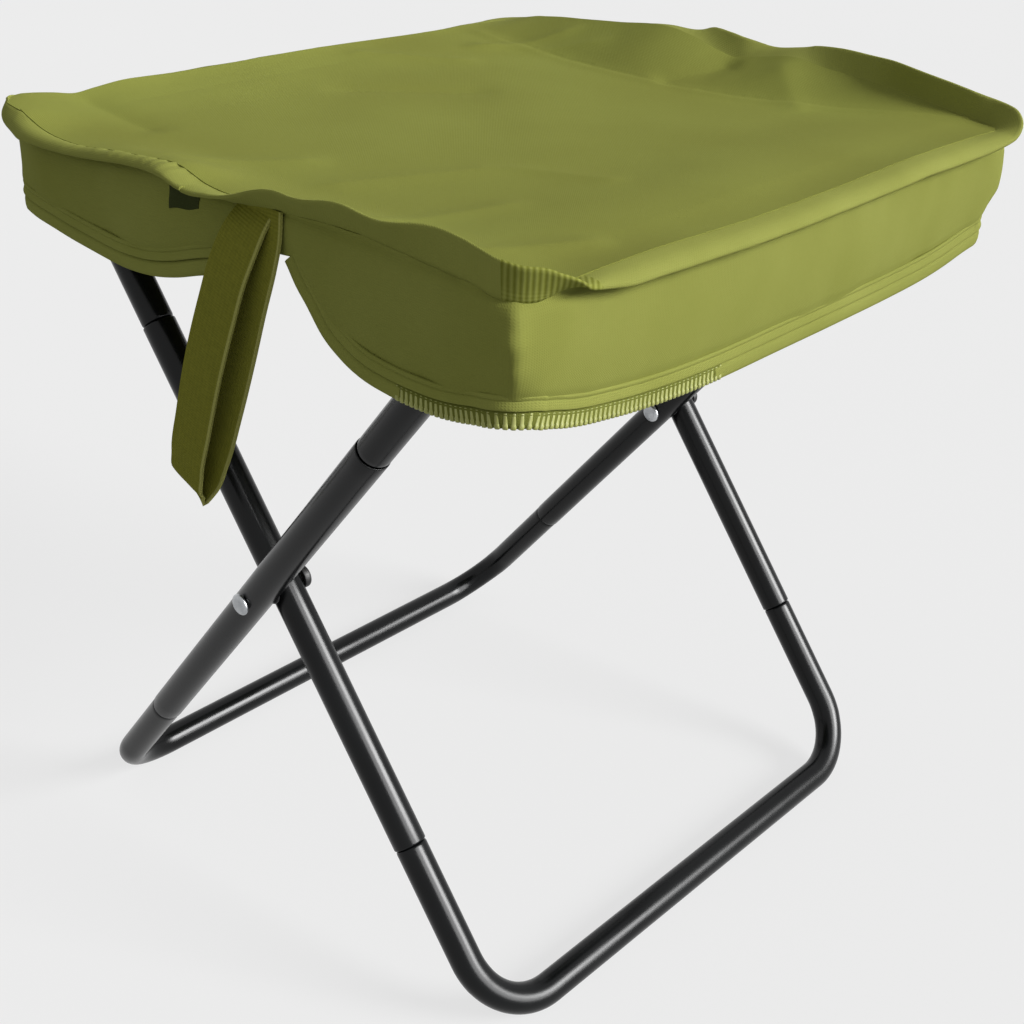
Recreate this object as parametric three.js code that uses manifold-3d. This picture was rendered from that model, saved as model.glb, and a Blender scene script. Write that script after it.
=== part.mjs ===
// Folding stool: two crossed tube frames that carry a sewn cover with zip edges.
// Millimetres, +Z up. The origin is on the floor under the middle of the seat. +X runs across
// the two crossbars, +Y runs along them from the near side, where the strap hangs, to the far side.

import * as THREE from "three";
import Module from "manifold-3d";
import { mergeVertices } from "three/addons/utils/BufferGeometryUtils.js";

const wasm = await Module();
wasm.setup();

// Frame: driving dimensions
const LEG_SPACING = 354.8; // near leg to far leg of one frame, centre to centre
const LEG_HALF = 275; // pivot to the centre of a crossbar, along the leg
const LEG_LEAN = THREE.MathUtils.degToRad(38.7); // lean of an open leg from upright
const SLEEVE_RADIUS = 9.5;
const SLEEVE_BORE_RADIUS = 8.3;
const SLEEVE_HALF = 161; // pivot to the end of a leg sleeve
const LOOP_RADIUS = 9.15; // bent end loops, a little thinner than the sleeves
const LOOP_WALL = 1.2;
const LOOP_BEND = 42; // bend radius of a loop's corners, on the tube's centre line
const SPIGOT_LENGTH = 26; // drawn-down end of a loop inside its sleeve
const SHOULDER_LENGTH = 1.5; // taper from spigot to full tube
const SEAM_GAP = 0.5; // open line between a sleeve and the loop's shoulder
const CLEARANCE = 0.3; // between pieces that touch or slide

// Pivots
const RIVET_RADIUS = 3;
const RIVET_HEAD_RADIUS = 6.2;
const RIVET_HEAD_HEIGHT = 2.5;
const RIVET_DIMPLE_RADIUS = 1.7; // hollow end that the rivet is set with
const RIVET_DIMPLE_DEPTH = 7;
const RIVET_END = 3.2; // how far the shank stands out of the second tube
const WASHER_RADIUS = 8;
const WASHER_THICKNESS = 0.6;
const CAP_RADIUS = 6.8;
const CAP_CROWN = 1.4; // thickness of the cap over the rivet's end

// Cover: driving dimensions
const RIGHT_OVERHANG = 26; // crossbar to the outside of the right end wall
const LEFT_OVERHANG = 20.3; // the same at the left end, where the cover sits closer
const PANEL_REACH = 122; // crossbar to the inner edge of a seat half
const LEFT_WALL_START_X = 8; // the near wall of the left half ends this far from the middle
const CLOTH = 1.2; // doubled and lined cloth of the walls
const PANEL_CLOTH = 1.5; // top cloth with its stiffener
const HEM_CLOTH = 0.9; // hem that wraps a crossbar
const HEM_END_SETBACK = 5; // hem's end to the start of the loop's bend
const COVER_CLEARANCE = 0.4; // wall to the outside of the outer leg
const SEAM_CLEARANCE = 0.8; // top cloth to the walls, under the facets of both
const SEAT_SAG = 4; // dip of the seat between the crossbars
const RIM_RISE = 20; // the height that the rim's shares are taken of
const NEAR_RISE_RUN = 55; // how far in from the near edge the seat starts to rise
const FAR_RISE_RUN = 50;
const COVER_DEPTH = 72; // the depth that the lip's shares are taken of
const WALL_BULGE = 1.6;
const COVER_CORNER = 12; // radius of the cover's upright corners, outside

// Rim, zip and strap
const BINDING_WIDTH = 1.8;
const BINDING_DROP = 2; // below the underside of the top cloth
const BINDING_REACH = 98; // crossbar to the inner end of the rim's brim
const BINDING_STAND = 0.6; // root of the brim above the top cloth
const BRIM_WIDTH = 15;
const CHAIN_HEIGHT = 5.7;
const CHAIN_THICKNESS = 1.9;
const STRAP_WIDTH = 25;
const STRAP_CLOTH = 1.3;
const STRAP_DROP = 152; // rim to the end of the hanging loop
const STRAP_LOOP_GAP = 7; // between the strap's two bands
const STRAP_SETBACK = 9; // start of the near wall to the middle of the strap
const STRAP_LEAN = THREE.MathUtils.degToRad(22); // sideways, towards the left half
const STRAP_TOP_INSET = 4; // top of the strap under the face of the fold strip
const SLIDER_LENGTH = 11;
const SLIDER_HEIGHT = 8;
const SLIDER_DEPTH = 2.4;
const SLIDER_SETBACK = 58; // crossbar to the parked slider, on the far side wall's lip
const CROWN_RADIUS = 2.4; // eye on the slider's face that holds the pull
const CROWN_EYE_RADIUS = 1.25;
const CROWN_STAND = 1.6; // slider's face to the middle of the eye
const CROWN_WIDTH = 1.6;
const CROWN_ROOT = 0.4; // how deep the eye is set in the slider's body
const PULL_LENGTH = 21;
const PULL_WIDTH = 7;
const PULL_THICKNESS = 1.3;
const PULL_WINDOW_WIDTH = 3.4;
const PULL_WINDOW_LENGTH = 3.6;

// Shapes of the rim and the lip along a half's way round, which counts 0 to 1 along the near side
// from the middle of the seat, to 2 round the near corner, to 3 along the end, to 4 round the far
// corner and to 5 back along the far side. Each place has its share: of the rim's rise over the
// seat, of a right angle that the brim leans up from level, or of the cover's depth at the lip.
const rimShares = {
  right: [
    [0, 0.26], [0.11, 0.2], [0.27, 0.33], [0.44, 0.48], [0.6, 0.53], [0.76, 0.46], [0.93, 0.37],
    [1.5, 0.25], [2.1, 0.3], [2.36, 0.2], [2.6, 0.21], [2.8, 0.29], [2.94, 0.21], [3.5, 0.11],
    [4.03, 0.18], [4.13, 0.36], [4.31, 0.58], [4.45, 0.56], [4.56, 0.43], [4.67, 0.28],
    [4.73, 0.24], [5, 0.2],
  ],
  left: [
    [0, 0.26], [0.11, 0.5], [0.29, 0.38], [0.46, 0.23], [0.63, 0.06], [0.8, 0.11], [0.94, 0.38],
    [1.5, 0.5], [2.06, 0.36], [2.25, 0.33], [2.56, 0.38], [2.9, 0.26], [3.5, 0.31], [4.02, 0.43],
    [4.23, 0.68], [4.37, 0.82], [4.46, 0.82], [4.53, 0.74], [4.6, 0.58], [4.66, 0.44], [4.72, 0.26],
    [5, 0.2],
  ],
};
const brimShares = {
  right: [
    [0, 0.33], [0.07, 0.55], [0.27, 0.55], [0.44, 0.52], [0.6, 0.59], [0.76, 0.75], [0.88, 0.95],
    [1, 0.98], [1.5, 0.8], [2.01, 0.47], [2.06, 0], [2.15, -0.2], [2.85, -0.2], [3, 0], [3.5, 0.61],
    [4.02, 0.93], [4.1, 0.98], [4.25, 0.98], [4.4, 0.78], [4.56, 0.35], [4.67, 0.15], [5, 0.15],
  ],
  left: [
    [0, 0.33], [0.08, 0], [0.29, 0], [0.46, -0.07], [0.63, 0.04], [0.8, -0.07], [0.91, -0.31],
    [1.5, -0.53], [2.05, -0.5], [2.15, -0.29], [2.5, -0.2], [2.9, -0.17], [3.5, 0.07], [4, 0],
    [4.23, -0.11], [4.53, -0.13], [5, -0.09],
  ],
};
const lipShares = {
  right: [
    [0.27, 0.16], [0.34, 0.28], [0.39, 0.46], [0.44, 0.62], [0.51, 0.765], [0.59, 0.84],
    [0.68, 0.88], [0.86, 0.85], [0.97, 0.78], [1.5, 0.69], [2.04, 0.73], [2.12, 0.85], [2.25, 0.95],
    [2.5, 1], [2.75, 0.97], [2.91, 0.92], [2.98, 0.87], [3.5, 0.82], [4.07, 0.87], [4.24, 0.92],
    [4.38, 0.935], [4.51, 0.82], [4.59, 0.63], [4.65, 0.39], [4.73, 0.16],
  ],
  left: [
    [0, 0.53], [0.06, 0.575], [0.18, 0.67], [0.3, 0.735], [0.42, 0.76], [0.54, 0.755], [0.74, 0.72],
    [0.88, 0.69], [1.5, 0.645], [2.05, 0.67], [2.17, 0.755], [2.5, 0.84], [2.83, 0.78],
    [2.95, 0.73], [3.5, 0.7], [4.12, 0.755], [4.26, 0.84], [4.35, 0.88], [4.49, 0.8], [4.57, 0.62],
    [4.64, 0.39], [4.72, 0.16],
  ],
};
// Rows of the end walls and of the seat across its width, as shares of half the width
const rowShares = [-1, -0.93, -0.84, -0.72, -0.5, -0.17, 0.17, 0.5, 0.68, 0.78, 0.86, 0.93, 1];

// Mesh counts
const TUBE_SIDES = 16;
const BEND_STEPS = 7;
const CORNER_STEPS = 5;
const SIDE_STEPS = 12; // along a side wall, its zip and its rim, the last one past the crossbar
const WALL_ROWS = 5;
const STRIP_COLUMNS = 8;
const STRAP_TURNS = 8;
const DOME_STEPS = 4;
const DOME_EDGE_SHARE = 0.55; // upright edge of a rivet's head, of its height
const NOSE_SHARE = 0.6; // narrow end of the slider, of its height
const ROUND_SIDES = 24;
const HOLE_OVERRUN = 2;

// Derived places
const FRAME_OFFSET = 2 * SLEEVE_RADIUS + WASHER_THICKNESS + 2 * CLEARANCE;
const FLAT_SHARE = Math.cos(Math.PI / TUBE_SIDES);
const PIVOT_HEIGHT = LEG_HALF * Math.cos(LEG_LEAN) + LOOP_RADIUS * FLAT_SHARE;
const CROSSBAR_X = LEG_HALF * Math.sin(LEG_LEAN);
const CROSSBAR_HEIGHT = PIVOT_HEIGHT + LEG_HALF * Math.cos(LEG_LEAN);
const HEM_RADIUS = LOOP_RADIUS + CLEARANCE + HEM_CLOTH;
const PANEL_UNDER = CROSSBAR_HEIGHT + HEM_RADIUS + CLEARANCE;
const SEAT_HEIGHT = PANEL_UNDER + PANEL_CLOTH;
const WALL_INNER_Y = (LEG_SPACING + FRAME_OFFSET) / 2 + SLEEVE_RADIUS + COVER_CLEARANCE;
const WALL_OUTER_Y = WALL_INNER_Y + CLOTH;
const RIM_Y = WALL_OUTER_Y + CLEARANCE;
const CORNER_Y = WALL_OUTER_Y - COVER_CORNER;
const STRIP_Y = RIM_Y + BINDING_WIDTH;
const PANEL_INNER_X = CROSSBAR_X - PANEL_REACH; // where a seat half meets the fold strip
const BINDING_START_X = CROSSBAR_X - BINDING_REACH;
const SLIDER_X = CROSSBAR_X - SLIDER_SETBACK;
const STRAP_X = PANEL_INNER_X - STRAP_SETBACK;

// The two halves: their direction along X, the outside of their end wall and where their near wall
// starts.
const halves = {
  right: { sign: 1, endX: CROSSBAR_X + RIGHT_OVERHANG, nearStartX: PANEL_INNER_X },
  left: { sign: -1, endX: CROSSBAR_X + LEFT_OVERHANG, nearStartX: LEFT_WALL_START_X },
};

// Materials
function finish(name, color, roughness, metalness) {
  return new THREE.MeshStandardMaterial({ name, color, roughness, metalness });
}

const blackPaint = () => finish("black enamel", 0x17181a, 0.25, 0.3);
const bareSteel = () => finish("zinc plated steel", 0xa9abad, 0.35, 1);
const blackNylon = () => finish("black nylon", 0x1c1c1d, 0.6, 0);
const oliveCloth = () => finish("olive coated polyester", 0x7f8340, 0.85, 0);
const oliveTape = () => finish("olive binding tape", 0x8b8f4b, 0.8, 0);
const oliveWebbing = () => finish("olive webbing", 0x5d6328, 0.85, 0);
const zipCoil = () => finish("olive zip coil", 0x6f7438, 0.5, 0);

// Closed meshes from points
function closedGeometry(points, faces) {
  let volume = 0;
  for (const [a, b, c] of faces) {
    volume += points[a].dot(new THREE.Vector3().crossVectors(points[b], points[c]));
  }
  const outward = volume > 0 ? faces : faces.map(([a, b, c]) => [a, c, b]);
  const geometry = new THREE.BufferGeometry();
  geometry.setAttribute(
    "position",
    new THREE.Float32BufferAttribute(points.flatMap((p) => [p.x, p.y, p.z]), 3),
  );
  geometry.setIndex(outward.flat());
  return geometry;
}

// Joins rings of equally many points, each ring to the next and the last to the first.
function ringLoop(rings) {
  const sides = rings[0].length;
  const faces = [];
  for (let r = 0; r < rings.length; r++) {
    const next = (r + 1) % rings.length;
    for (let k = 0; k < sides; k++) {
      const l = (k + 1) % sides;
      faces.push([r * sides + k, next * sides + k, next * sides + l]);
      faces.push([r * sides + k, next * sides + l, r * sides + l]);
    }
  }
  return closedGeometry(rings.flat(), faces);
}

// A cloth piece: an outer and an inner face over the unit square, joined at the edges.
function clothSheet(columns, rows, outer, inner) {
  const points = [];
  for (const face of [outer, inner]) {
    for (let j = 0; j <= rows; j++) {
      for (let i = 0; i <= columns; i++) points.push(face(i / columns, j / rows));
    }
  }
  const side = (columns + 1) * (rows + 1);
  const at = (i, j) => j * (columns + 1) + i;
  const faces = [];
  for (let j = 0; j < rows; j++) {
    for (let i = 0; i < columns; i++) {
      const [a, b, c, d] = [at(i, j), at(i + 1, j), at(i + 1, j + 1), at(i, j + 1)];
      faces.push([a, b, c], [a, c, d], [side + a, side + c, side + b], [side + a, side + d, side + c]);
    }
  }
  const border = [];
  for (let i = 0; i < columns; i++) border.push(at(i, 0));
  for (let j = 0; j < rows; j++) border.push(at(columns, j));
  for (let i = columns; i > 0; i--) border.push(at(i, rows));
  for (let j = rows; j > 0; j--) border.push(at(0, j));
  border.forEach((a, k) => {
    const b = border[(k + 1) % border.length];
    faces.push([a, side + b, b], [a, side + a, side + b]);
  });
  return closedGeometry(points, faces);
}

// Solids for cutting
function solidOf(geometry) {
  const bare = geometry.clone();
  bare.deleteAttribute("normal");
  bare.deleteAttribute("uv");
  const merged = mergeVertices(bare);
  return new wasm.Manifold(
    new wasm.Mesh({
      numProp: 3,
      vertProperties: new Float32Array(merged.attributes.position.array),
      triVerts: new Uint32Array(merged.index.array),
    }),
  );
}

function geometryOf(solid) {
  const mesh = solid.getMesh();
  const geometry = new THREE.BufferGeometry();
  geometry.setAttribute("position", new THREE.Float32BufferAttribute(mesh.vertProperties, 3));
  geometry.setIndex(Array.from(mesh.triVerts));
  return geometry;
}

// One frame's own axes: along the leg up from the pivot, and square to the plane of the legs.
function frameAxes(side) {
  return {
    along: new THREE.Vector3(side * Math.sin(LEG_LEAN), 0, Math.cos(LEG_LEAN)),
    square: new THREE.Vector3(Math.cos(LEG_LEAN), 0, -side * Math.sin(LEG_LEAN)),
    nearY: -(LEG_SPACING + side * FRAME_OFFSET) / 2,
    farY: (LEG_SPACING - side * FRAME_OFFSET) / 2,
  };
}

// A ring of the tube's section. The facets are turned so that one lies flat on the floor
// where the tube runs along Y.
function tubeRing(centre, tangent, square, radius) {
  const other = new THREE.Vector3().crossVectors(tangent, square);
  const crossbarOther = new THREE.Vector3().crossVectors(new THREE.Vector3(0, 1, 0), square);
  const turn = Math.atan2(-crossbarOther.z, -square.z) + Math.PI / TUBE_SIDES;
  const ring = [];
  for (let k = 0; k < TUBE_SIDES; k++) {
    const angle = turn + (2 * Math.PI * k) / TUBE_SIDES;
    ring.push(
      centre
        .clone()
        .addScaledVector(square, radius * Math.cos(angle))
        .addScaledVector(other, radius * Math.sin(angle)),
    );
  }
  return ring;
}

// The stations of a bent loop, as distance along the leg, place along Y, and the direction
// of travel in those two. The loop starts at the near seam and ends at the far seam.
function loopStations(nearY, farY) {
  const seat = SLEEVE_HALF + SEAM_GAP;
  const spigot = SLEEVE_BORE_RADIUS - CLEARANCE;
  const straightEnd = LEG_HALF - LOOP_BEND;
  const leg = [
    { t: seat - SPIGOT_LENGTH, radius: spigot },
    { t: seat, radius: spigot },
    { t: seat + SHOULDER_LENGTH, radius: LOOP_RADIUS },
  ];
  const stations = leg.map(({ t, radius }) => ({ t, y: nearY, turn: 0, radius }));
  for (let k = 0; k <= BEND_STEPS; k++) {
    const turn = (Math.PI / 2) * (k / BEND_STEPS);
    const t = straightEnd + LOOP_BEND * Math.sin(turn);
    stations.push({ t, y: nearY + LOOP_BEND * (1 - Math.cos(turn)), turn, radius: LOOP_RADIUS });
  }
  for (let k = 0; k <= BEND_STEPS; k++) {
    const turn = (Math.PI / 2) * (1 + k / BEND_STEPS);
    const t = straightEnd + LOOP_BEND * Math.sin(turn);
    stations.push({ t, y: farY - LOOP_BEND * (1 + Math.cos(turn)), turn, radius: LOOP_RADIUS });
  }
  for (const { t, radius } of leg.reverse()) {
    stations.push({ t, y: farY, turn: Math.PI, radius });
  }
  return stations;
}

// A bent end loop, hollow and open at both ends. end is 1 for a top loop, -1 for a bottom one.
function endLoop(side, end) {
  const axes = frameAxes(side);
  const out = axes.along.clone().multiplyScalar(end);
  const rings = loopStations(axes.nearY, axes.farY).map(({ t, y, turn, radius }) => {
    const centre = new THREE.Vector3(0, y, PIVOT_HEIGHT).addScaledVector(out, t);
    const tangent = new THREE.Vector3(0, Math.sin(turn), 0).addScaledVector(out, Math.cos(turn));
    return [radius, radius - LOOP_WALL].map((r) => tubeRing(centre, tangent, axes.square, r));
  });
  return ringLoop([...rings.map(([o]) => o), ...rings.map(([, i]) => i).reverse()]);
}

// A straight leg sleeve with its rivet hole.
function legSleeve(side, y) {
  const axes = frameAxes(side);
  const ends = [-SLEEVE_HALF, SLEEVE_HALF].map((t) =>
    [SLEEVE_RADIUS, SLEEVE_BORE_RADIUS].map((radius) => {
      const centre = new THREE.Vector3(0, y, PIVOT_HEIGHT).addScaledVector(axes.along, t);
      return tubeRing(centre, axes.along, axes.square, radius);
    }),
  );
  const [[lowOuter, lowInner], [highOuter, highInner]] = ends;
  const tube = solidOf(ringLoop([lowOuter, highOuter, highInner, lowInner]));
  const holeLength = 2 * (SLEEVE_RADIUS + HOLE_OVERRUN);
  const holeRadius = RIVET_RADIUS + CLEARANCE;
  const hole = new THREE.CylinderGeometry(holeRadius, holeRadius, holeLength, ROUND_SIDES);
  hole.translate(0, y, PIVOT_HEIGHT);
  return geometryOf(tube.subtract(solidOf(hole)));
}

// Turned pieces on a pivot. A profile is radius against place along Y.
function turned(profile, y) {
  const geometry = new THREE.LatheGeometry(
    profile.map(([radius, along]) => new THREE.Vector2(radius, along)),
    ROUND_SIDES,
  );
  return closedFromLathe(geometry.translate(0, y, PIVOT_HEIGHT));
}

function closedFromLathe(geometry) {
  return geometryOf(solidOf(geometry));
}

// The rivet's head sits on the near face of frame A's tube, and its hollow end passes
// through frame B's tube into the cap.
function rivet(tubeY) {
  const under = -SLEEVE_RADIUS - CLEARANCE;
  const end = FRAME_OFFSET + SLEEVE_RADIUS + RIVET_END;
  const profile = [[0, under - RIVET_HEAD_HEIGHT]];
  for (let k = 1; k <= DOME_STEPS; k++) {
    const angle = (Math.PI / 2) * (k / DOME_STEPS);
    const edge = RIVET_HEAD_HEIGHT * DOME_EDGE_SHARE;
    profile.push([
      RIVET_HEAD_RADIUS * Math.sin(angle),
      under - edge - (RIVET_HEAD_HEIGHT - edge) * Math.cos(angle),
    ]);
  }
  profile.push([RIVET_HEAD_RADIUS, under], [RIVET_RADIUS, under], [RIVET_RADIUS, end]);
  profile.push([RIVET_DIMPLE_RADIUS, end], [RIVET_DIMPLE_RADIUS, end - RIVET_DIMPLE_DEPTH]);
  profile.push([0, end - RIVET_DIMPLE_DEPTH]);
  return turned(profile, tubeY);
}

function pivotWasher(tubeY) {
  const low = SLEEVE_RADIUS + CLEARANCE;
  const high = low + WASHER_THICKNESS;
  const bore = RIVET_RADIUS + CLEARANCE;
  const profile = [[bore, low], [WASHER_RADIUS, low], [WASHER_RADIUS, high], [bore, high], [bore, low]];
  return turned(profile, tubeY);
}

function rivetCap(tubeY) {
  const low = FRAME_OFFSET + SLEEVE_RADIUS + CLEARANCE;
  const floor = FRAME_OFFSET + SLEEVE_RADIUS + RIVET_END + CLEARANCE;
  const bore = RIVET_RADIUS + CLEARANCE;
  const chamfer = CAP_CROWN;
  const profile = [
    [0, floor],
    [bore, floor],
    [bore, low],
    [CAP_RADIUS, low],
    [CAP_RADIUS, floor + CAP_CROWN - chamfer],
    [CAP_RADIUS - chamfer, floor + CAP_CROWN],
    [0, floor + CAP_CROWN],
  ];
  return turned(profile, tubeY);
}

// The share at a place of a half's way round, between the places of its table.
function shareAt(table, place) {
  const after = table.findIndex(([at]) => at >= place);
  if (after < 0) return table[table.length - 1][1];
  if (after === 0) return table[0][1];
  const [[low, from], [high, to]] = [table[after - 1], table[after]];
  return THREE.MathUtils.lerp(from, to, (place - low) / (high - low));
}

// A place on a half's way round. turn runs from 0 to a right angle round a corner.
const nearPlace = (half, x) => Math.abs(x) / (halves[half].endX - COVER_CORNER);
const nearCornerPlace = (turn) => 1 + turn / (Math.PI / 2);
const endPlace = (y) => 2 + (y + CORNER_Y) / (2 * CORNER_Y);
const farCornerPlace = (turn) => 4 - turn / (Math.PI / 2);
const farPlace = (half, x) => 5 - nearPlace(half, x);

// Height of the rim's seam, of the brim's lean and of the lip at a place on the way round.
const rimAt = (half, place) => SEAT_HEIGHT + RIM_RISE * shareAt(rimShares[half], place);
const leanAt = (half, place) => (Math.PI / 2) * shareAt(brimShares[half], place);
const lipAt = (half, place) => SEAT_HEIGHT - COVER_DEPTH * shareAt(lipShares[half], place);

// Height of the seat between its edges: level over the crossbars and dipping between them.
function seatMiddle(x) {
  const between = Math.min(1, Math.abs(x) / CROSSBAR_X);
  return SEAT_HEIGHT - SEAT_SAG * (1 - between * between);
}

// Height of the seat's top face, which rises to the rim along the near and far sides.
function seatTop(half, x, y) {
  const middle = seatMiddle(x);
  const near = THREE.MathUtils.smoothstep(-y, WALL_OUTER_Y - NEAR_RISE_RUN, WALL_OUTER_Y);
  const far = Math.max(0, (y - WALL_OUTER_Y + FAR_RISE_RUN) / FAR_RISE_RUN);
  const nearRise = rimAt(half, nearPlace(half, x)) - middle;
  const farRise = rimAt(half, farPlace(half, x)) - middle;
  return middle + near * nearRise + far * farRise;
}

// The places in plan of a half's side from the inside to the corner: even steps to the
// crossbar and one past it.
function sidePlaces(half, startX) {
  const steps = SIDE_STEPS - 1;
  const places = [];
  for (let k = 0; k <= steps; k++) places.push(THREE.MathUtils.lerp(startX, CROSSBAR_X, k / steps));
  return [...places, halves[half].endX - COVER_CORNER];
}

// One half of the seat's top cloth, from the fold strip to the end.
function seatPanel(half) {
  const { sign, endX } = halves[half];
  const inside = sidePlaces(half, PANEL_INNER_X);
  const columns = inside.length - 1 + CORNER_STEPS;
  const rows = rowShares.length - 1;
  const place = (u, v, lower) => {
    const step = Math.round(u * columns);
    const share = rowShares[Math.round(v * rows)];
    const turn = (Math.PI / 2) * Math.max(0, (step - inside.length + 1) / CORNER_STEPS);
    const x = step < inside.length ? inside[step] : endX - COVER_CORNER * (1 - Math.sin(turn));
    const y = (CORNER_Y + COVER_CORNER * Math.cos(turn)) * share;
    let z = seatTop(half, x, y);
    if (turn > 0) {
      const corner = share < 0 ? nearCornerPlace(turn) : farCornerPlace(turn);
      const edge = rimAt(half, Math.abs(share) === 1 ? corner : endPlace(CORNER_Y * share));
      const start = seatTop(half, endX - COVER_CORNER, WALL_OUTER_Y * share);
      const rise = 1 - (1 - Math.sin(turn)) ** 2;
      z = Math.abs(share) === 1 ? edge : THREE.MathUtils.lerp(start, edge, rise);
    }
    return new THREE.Vector3(sign * x, y, z - lower);
  };
  return clothSheet(columns, rows, (u, v) => place(u, v, 0), (u, v) => place(u, v, PANEL_CLOTH));
}

// The cloth between the two halves, which folds when the frames close.
function foldStrip() {
  const rows = rowShares.length - 1;
  const reach = PANEL_INNER_X - CLEARANCE;
  const place = (u, v, lower) => {
    const x = THREE.MathUtils.lerp(-reach, reach, u);
    const y = STRIP_Y * rowShares[Math.round(v * rows)];
    return new THREE.Vector3(x, y, seatTop(x < 0 ? "left" : "right", x, y) - lower);
  };
  return clothSheet(
    STRIP_COLUMNS,
    rows,
    (u, v) => place(u, v, 0),
    (u, v) => place(u, v, PANEL_CLOTH),
  );
}

// Part of the way round a half, at a distance out from the inner face of the walls: places in
// plan with their outward direction and their place on the way.
function sideWay(half, hand, startX, out) {
  const { sign } = halves[half];
  const y = hand * (WALL_INNER_Y + out);
  return sidePlaces(half, startX).map((x) => {
    const at = hand < 0 ? nearPlace(half, x) : farPlace(half, x);
    return { x: sign * x, y, outX: 0, outY: hand, at };
  });
}

function endWay(half, out) {
  const { sign, endX } = halves[half];
  const radius = COVER_CORNER - CLOTH + out;
  const cornerX = endX - COVER_CORNER;
  const way = [];
  const corner = (hand, turn, at) => {
    const [s, c] = [Math.sin(turn), Math.cos(turn)];
    const y = hand * (CORNER_Y + radius * c);
    way.push({ x: sign * (cornerX + radius * s), y, outX: sign * s, outY: hand * c, at });
  };
  for (let k = 0; k < CORNER_STEPS; k++) {
    const turn = (Math.PI / 2) * (k / CORNER_STEPS);
    corner(-1, turn, nearCornerPlace(turn));
  }
  for (const share of rowShares) {
    const y = CORNER_Y * share;
    way.push({ x: sign * (cornerX + radius), y, outX: sign, outY: 0, at: endPlace(y) });
  }
  for (let k = CORNER_STEPS - 1; k >= 0; k--) {
    const turn = (Math.PI / 2) * (k / CORNER_STEPS);
    corner(1, turn, farCornerPlace(turn));
  }
  return way;
}

// The whole way round a half, from the near start past the end to the far start.
function roundHalf(half, nearStartX, farStartX, out) {
  return [
    ...sideWay(half, -1, nearStartX, out).slice(0, -1),
    ...endWay(half, out),
    ...sideWay(half, 1, farStartX, out).reverse().slice(1),
  ];
}

// A band of cloth that follows a way. rows gives each row's outer and inner point at a place, as
// distance out from the way and height.
function band(way, rows) {
  const [last, high] = [way.length - 1, rows.length - 1];
  const place = (u, v, face) => {
    const { x, y, outX, outY, at } = way[Math.round(u * last)];
    const [out, z] = rows[Math.round(v * high)](at, u)[face];
    return new THREE.Vector3(x + outX * out, y + outY * out, z);
  };
  return clothSheet(last, high, (u, v) => place(u, v, 0), (u, v) => place(u, v, 1));
}

// Rows of a wall from over the zip chain up to under the top cloth.
function wallRows(half) {
  return Array.from({ length: WALL_ROWS + 1 }, (_, row) => (at, u) => {
    const v = row / WALL_ROWS;
    const low = lipAt(half, at) + CHAIN_HEIGHT;
    const z = THREE.MathUtils.lerp(low, rimAt(half, at) - PANEL_CLOTH - SEAM_CLEARANCE, v);
    const swell = WALL_BULGE * Math.sin(Math.PI * u) * Math.sin(Math.PI * v);
    return [[CLOTH + swell, z], [swell, z]];
  });
}

// A side wall of one half. hand is -1 for near and 1 for far.
function sideWall(half, hand) {
  const startX = hand < 0 ? halves[half].nearStartX : PANEL_INNER_X;
  const way = sideWay(half, hand, startX, 0);
  way[way.length - 1].x -= halves[half].sign * CLEARANCE;
  return band(way, wallRows(half));
}

// An end wall with the cover's two upright corners.
const endWall = (half) => band(endWay(half, 0), wallRows(half));

// A crossbar's hem: a tube of cloth round the straight part of a top loop.
function crossbarHem(side) {
  const axes = frameAxes(side);
  const along = new THREE.Vector3(0, 1, 0);
  const setback = LOOP_BEND + HEM_END_SETBACK;
  const ends = [axes.nearY + setback, axes.farY - setback].map((y) => {
    const centre = new THREE.Vector3(side * CROSSBAR_X, y, CROSSBAR_HEIGHT);
    return [HEM_RADIUS, HEM_RADIUS - HEM_CLOTH].map((r) => tubeRing(centre, along, axes.square, r));
  });
  const [[nearOuter, nearInner], [farOuter, farInner]] = ends;
  return ringLoop([nearOuter, farOuter, farInner, nearInner]);
}

// The rim: a binding round the top cloth's edge whose brim leans up, lies level or droops.
function rimBinding(half) {
  const way = roundHalf(half, BINDING_START_X, BINDING_START_X, CLOTH + CLEARANCE);
  const root = (at) => rimAt(half, at) + BINDING_STAND;
  const low = (at) => rimAt(half, at) - PANEL_CLOTH - BINDING_DROP;
  const under = (at, along) => {
    const lean = leanAt(half, at);
    const out = BINDING_WIDTH * Math.sin(lean) + along * Math.cos(lean);
    return [out, root(at) - BINDING_WIDTH * Math.cos(lean) + along * Math.sin(lean)];
  };
  const bend = (at) => BINDING_WIDTH * Math.tan((Math.PI / 2 - leanAt(half, at)) / 2);
  const tip = (at) => {
    const lean = leanAt(half, at);
    return [BRIM_WIDTH * Math.cos(lean), root(at) + BRIM_WIDTH * Math.sin(lean)];
  };
  return band(way, [
    (at) => [[BINDING_WIDTH, low(at)], [0, low(at)]],
    (at) => [under(at, bend(at)), [0, root(at)]],
    (at) => [under(at, BRIM_WIDTH), tip(at)],
  ]);
}

// The zip's half chain hangs edge to edge under the walls of one half.
function zipChain(half) {
  const way = roundHalf(half, halves[half].nearStartX, PANEL_INNER_X, 0);
  const high = (at) => lipAt(half, at) + CHAIN_HEIGHT - CLEARANCE;
  return band(way, [
    (at) => [[CHAIN_THICKNESS, lipAt(half, at)], [0, lipAt(half, at)]],
    (at) => [[CHAIN_THICKNESS, high(at)], [0, high(at)]],
  ]);
}

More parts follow.
